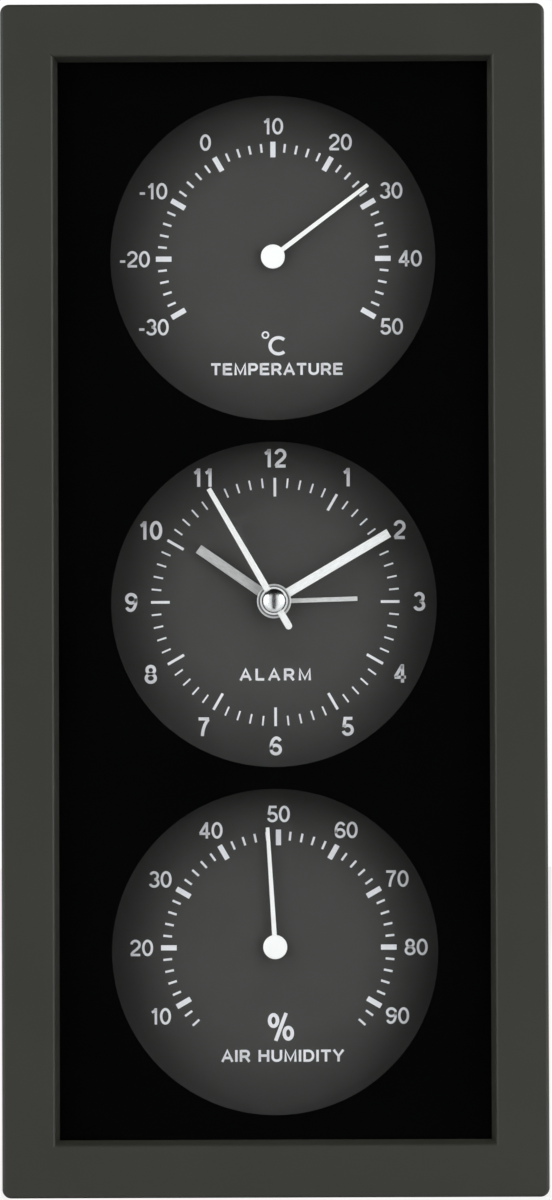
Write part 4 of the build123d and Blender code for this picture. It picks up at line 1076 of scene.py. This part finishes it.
# %% Rear labels
label_ink = moulded("label_ink", (0.50, 0.50, 0.48), 0.55, grain=0.1 * mm, relief=0.004 * mm, strength=0.2)
movement_low, movement_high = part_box("movement_case")
label_height = 1.6 * mm
label_gap = 2.0 * mm
sign_inset = 4 * mm


def above(node_name, shift=0.0):
    """A place just above a part on the rear, moved along X by a shift."""
    low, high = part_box(node_name)
    return ((low.x + high.x) / 2 + shift, high.z + label_gap)


switch_shift = 3.5 * mm
sign_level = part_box("battery")[1].z + 2 * label_gap
label_places = {
    "TIME": above("time_set_knob"),
    "ALARM": above("alarm_set_knob"),
    "OFF": above("alarm_switch", -switch_shift / 2),
    "ON": above("alarm_switch", 1.5 * switch_shift),
    "+": (movement_high.x - sign_inset, sign_level),
    "-": (movement_low.x + sign_inset, sign_level),
}
labels = []
for word, spot in label_places.items():
    labels.append(printed_text(word, label_height, spot, movement_high.y, pen=0.16, gap=0.25, behind=True))
print_on("rear_labels", "movement_case", labels, label_ink)

# %% [markdown]
# Two screws hold the lower edge of the rear cover. A screw head is a low cone with a cross cut into it, and
# Geometry Nodes put one copy on each point of a short line.

# %% Cover screws
crown_share = 0.72


def screw_tree():
    """A tree that sets cross-head screws in a row along X, with their heads to the rear."""
    tree, given = new_tree("screw_row", {
        "Screws": "Int", "First place": "Vector", "Spacing": "Float", "Head radius": "Float",
        "Head height": "Float", "Cross length": "Float", "Cross width": "Float", "Metal": "Material",
    })
    step = add_node(tree, "ShaderNodeCombineXYZ", {"X": given["Spacing"]})
    row = add_node(
        tree, "GeometryNodeMeshLine",
        {"Count": given["Screws"], "Start Location": given["First place"], "Offset": step.outputs[0]},
    )
    head = add_node(
        tree, "GeometryNodeMeshCone",
        {
            "Vertices": 40, "Radius Top": maths(tree, "MULTIPLY", given["Head radius"], crown_share),
            "Radius Bottom": given["Head radius"], "Depth": given["Head height"],
        },
    )
    arm_size = add_node(
        tree, "ShaderNodeCombineXYZ",
        {"X": given["Cross length"], "Y": given["Cross width"], "Z": given["Head height"]},
    )
    arm = add_node(tree, "GeometryNodeMeshCube", {"Size": arm_size.outputs[0]})
    up = add_node(tree, "ShaderNodeCombineXYZ", {"Z": given["Head height"]})
    crossed = head.outputs["Mesh"]
    for turn in (0, pi / 2):
        bar = add_node(
            tree, "GeometryNodeTransform",
            {"Geometry": arm.outputs["Mesh"], "Translation": up.outputs[0], "Rotation": (0, 0, turn)},
        )
        crossed = add_node(
            tree, "GeometryNodeMeshBoolean",
            {"Mesh 1": crossed, "Mesh 2": bar.outputs[0]}, operation="DIFFERENCE",
        ).outputs["Mesh"]
    screws = add_node(
        tree, "GeometryNodeInstanceOnPoints",
        {"Points": row.outputs["Mesh"], "Instance": crossed, "Rotation": (-pi / 2, pi / 6, 0)},
    )
    end_tree(tree, screws.outputs[0], given["Metal"])
    return tree


screw_x = 30.4 * mm
screw_z = 4.8 * mm
cover_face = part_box("rear_cover")[1].y
screw_metal = brushed("screw_steel", (0.30, 0.30, 0.31), line=0.1 * mm, run=1 * mm)
screws = from_tree("cover_screws", screw_tree(), {
    "Screws": 2, "First place": (-screw_x, cover_face, screw_z), "Spacing": 2 * screw_x,
    "Head radius": 1.9 * mm, "Head height": 0.7 * mm, "Cross length": 2.1 * mm, "Cross width": 0.5 * mm,
    "Metal": screw_metal,
})
smooth_by_angle(screws.data)
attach(screws, nodes["rear_cover"]["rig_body"])
print("Screw faces:", len(screws.data.polygons))
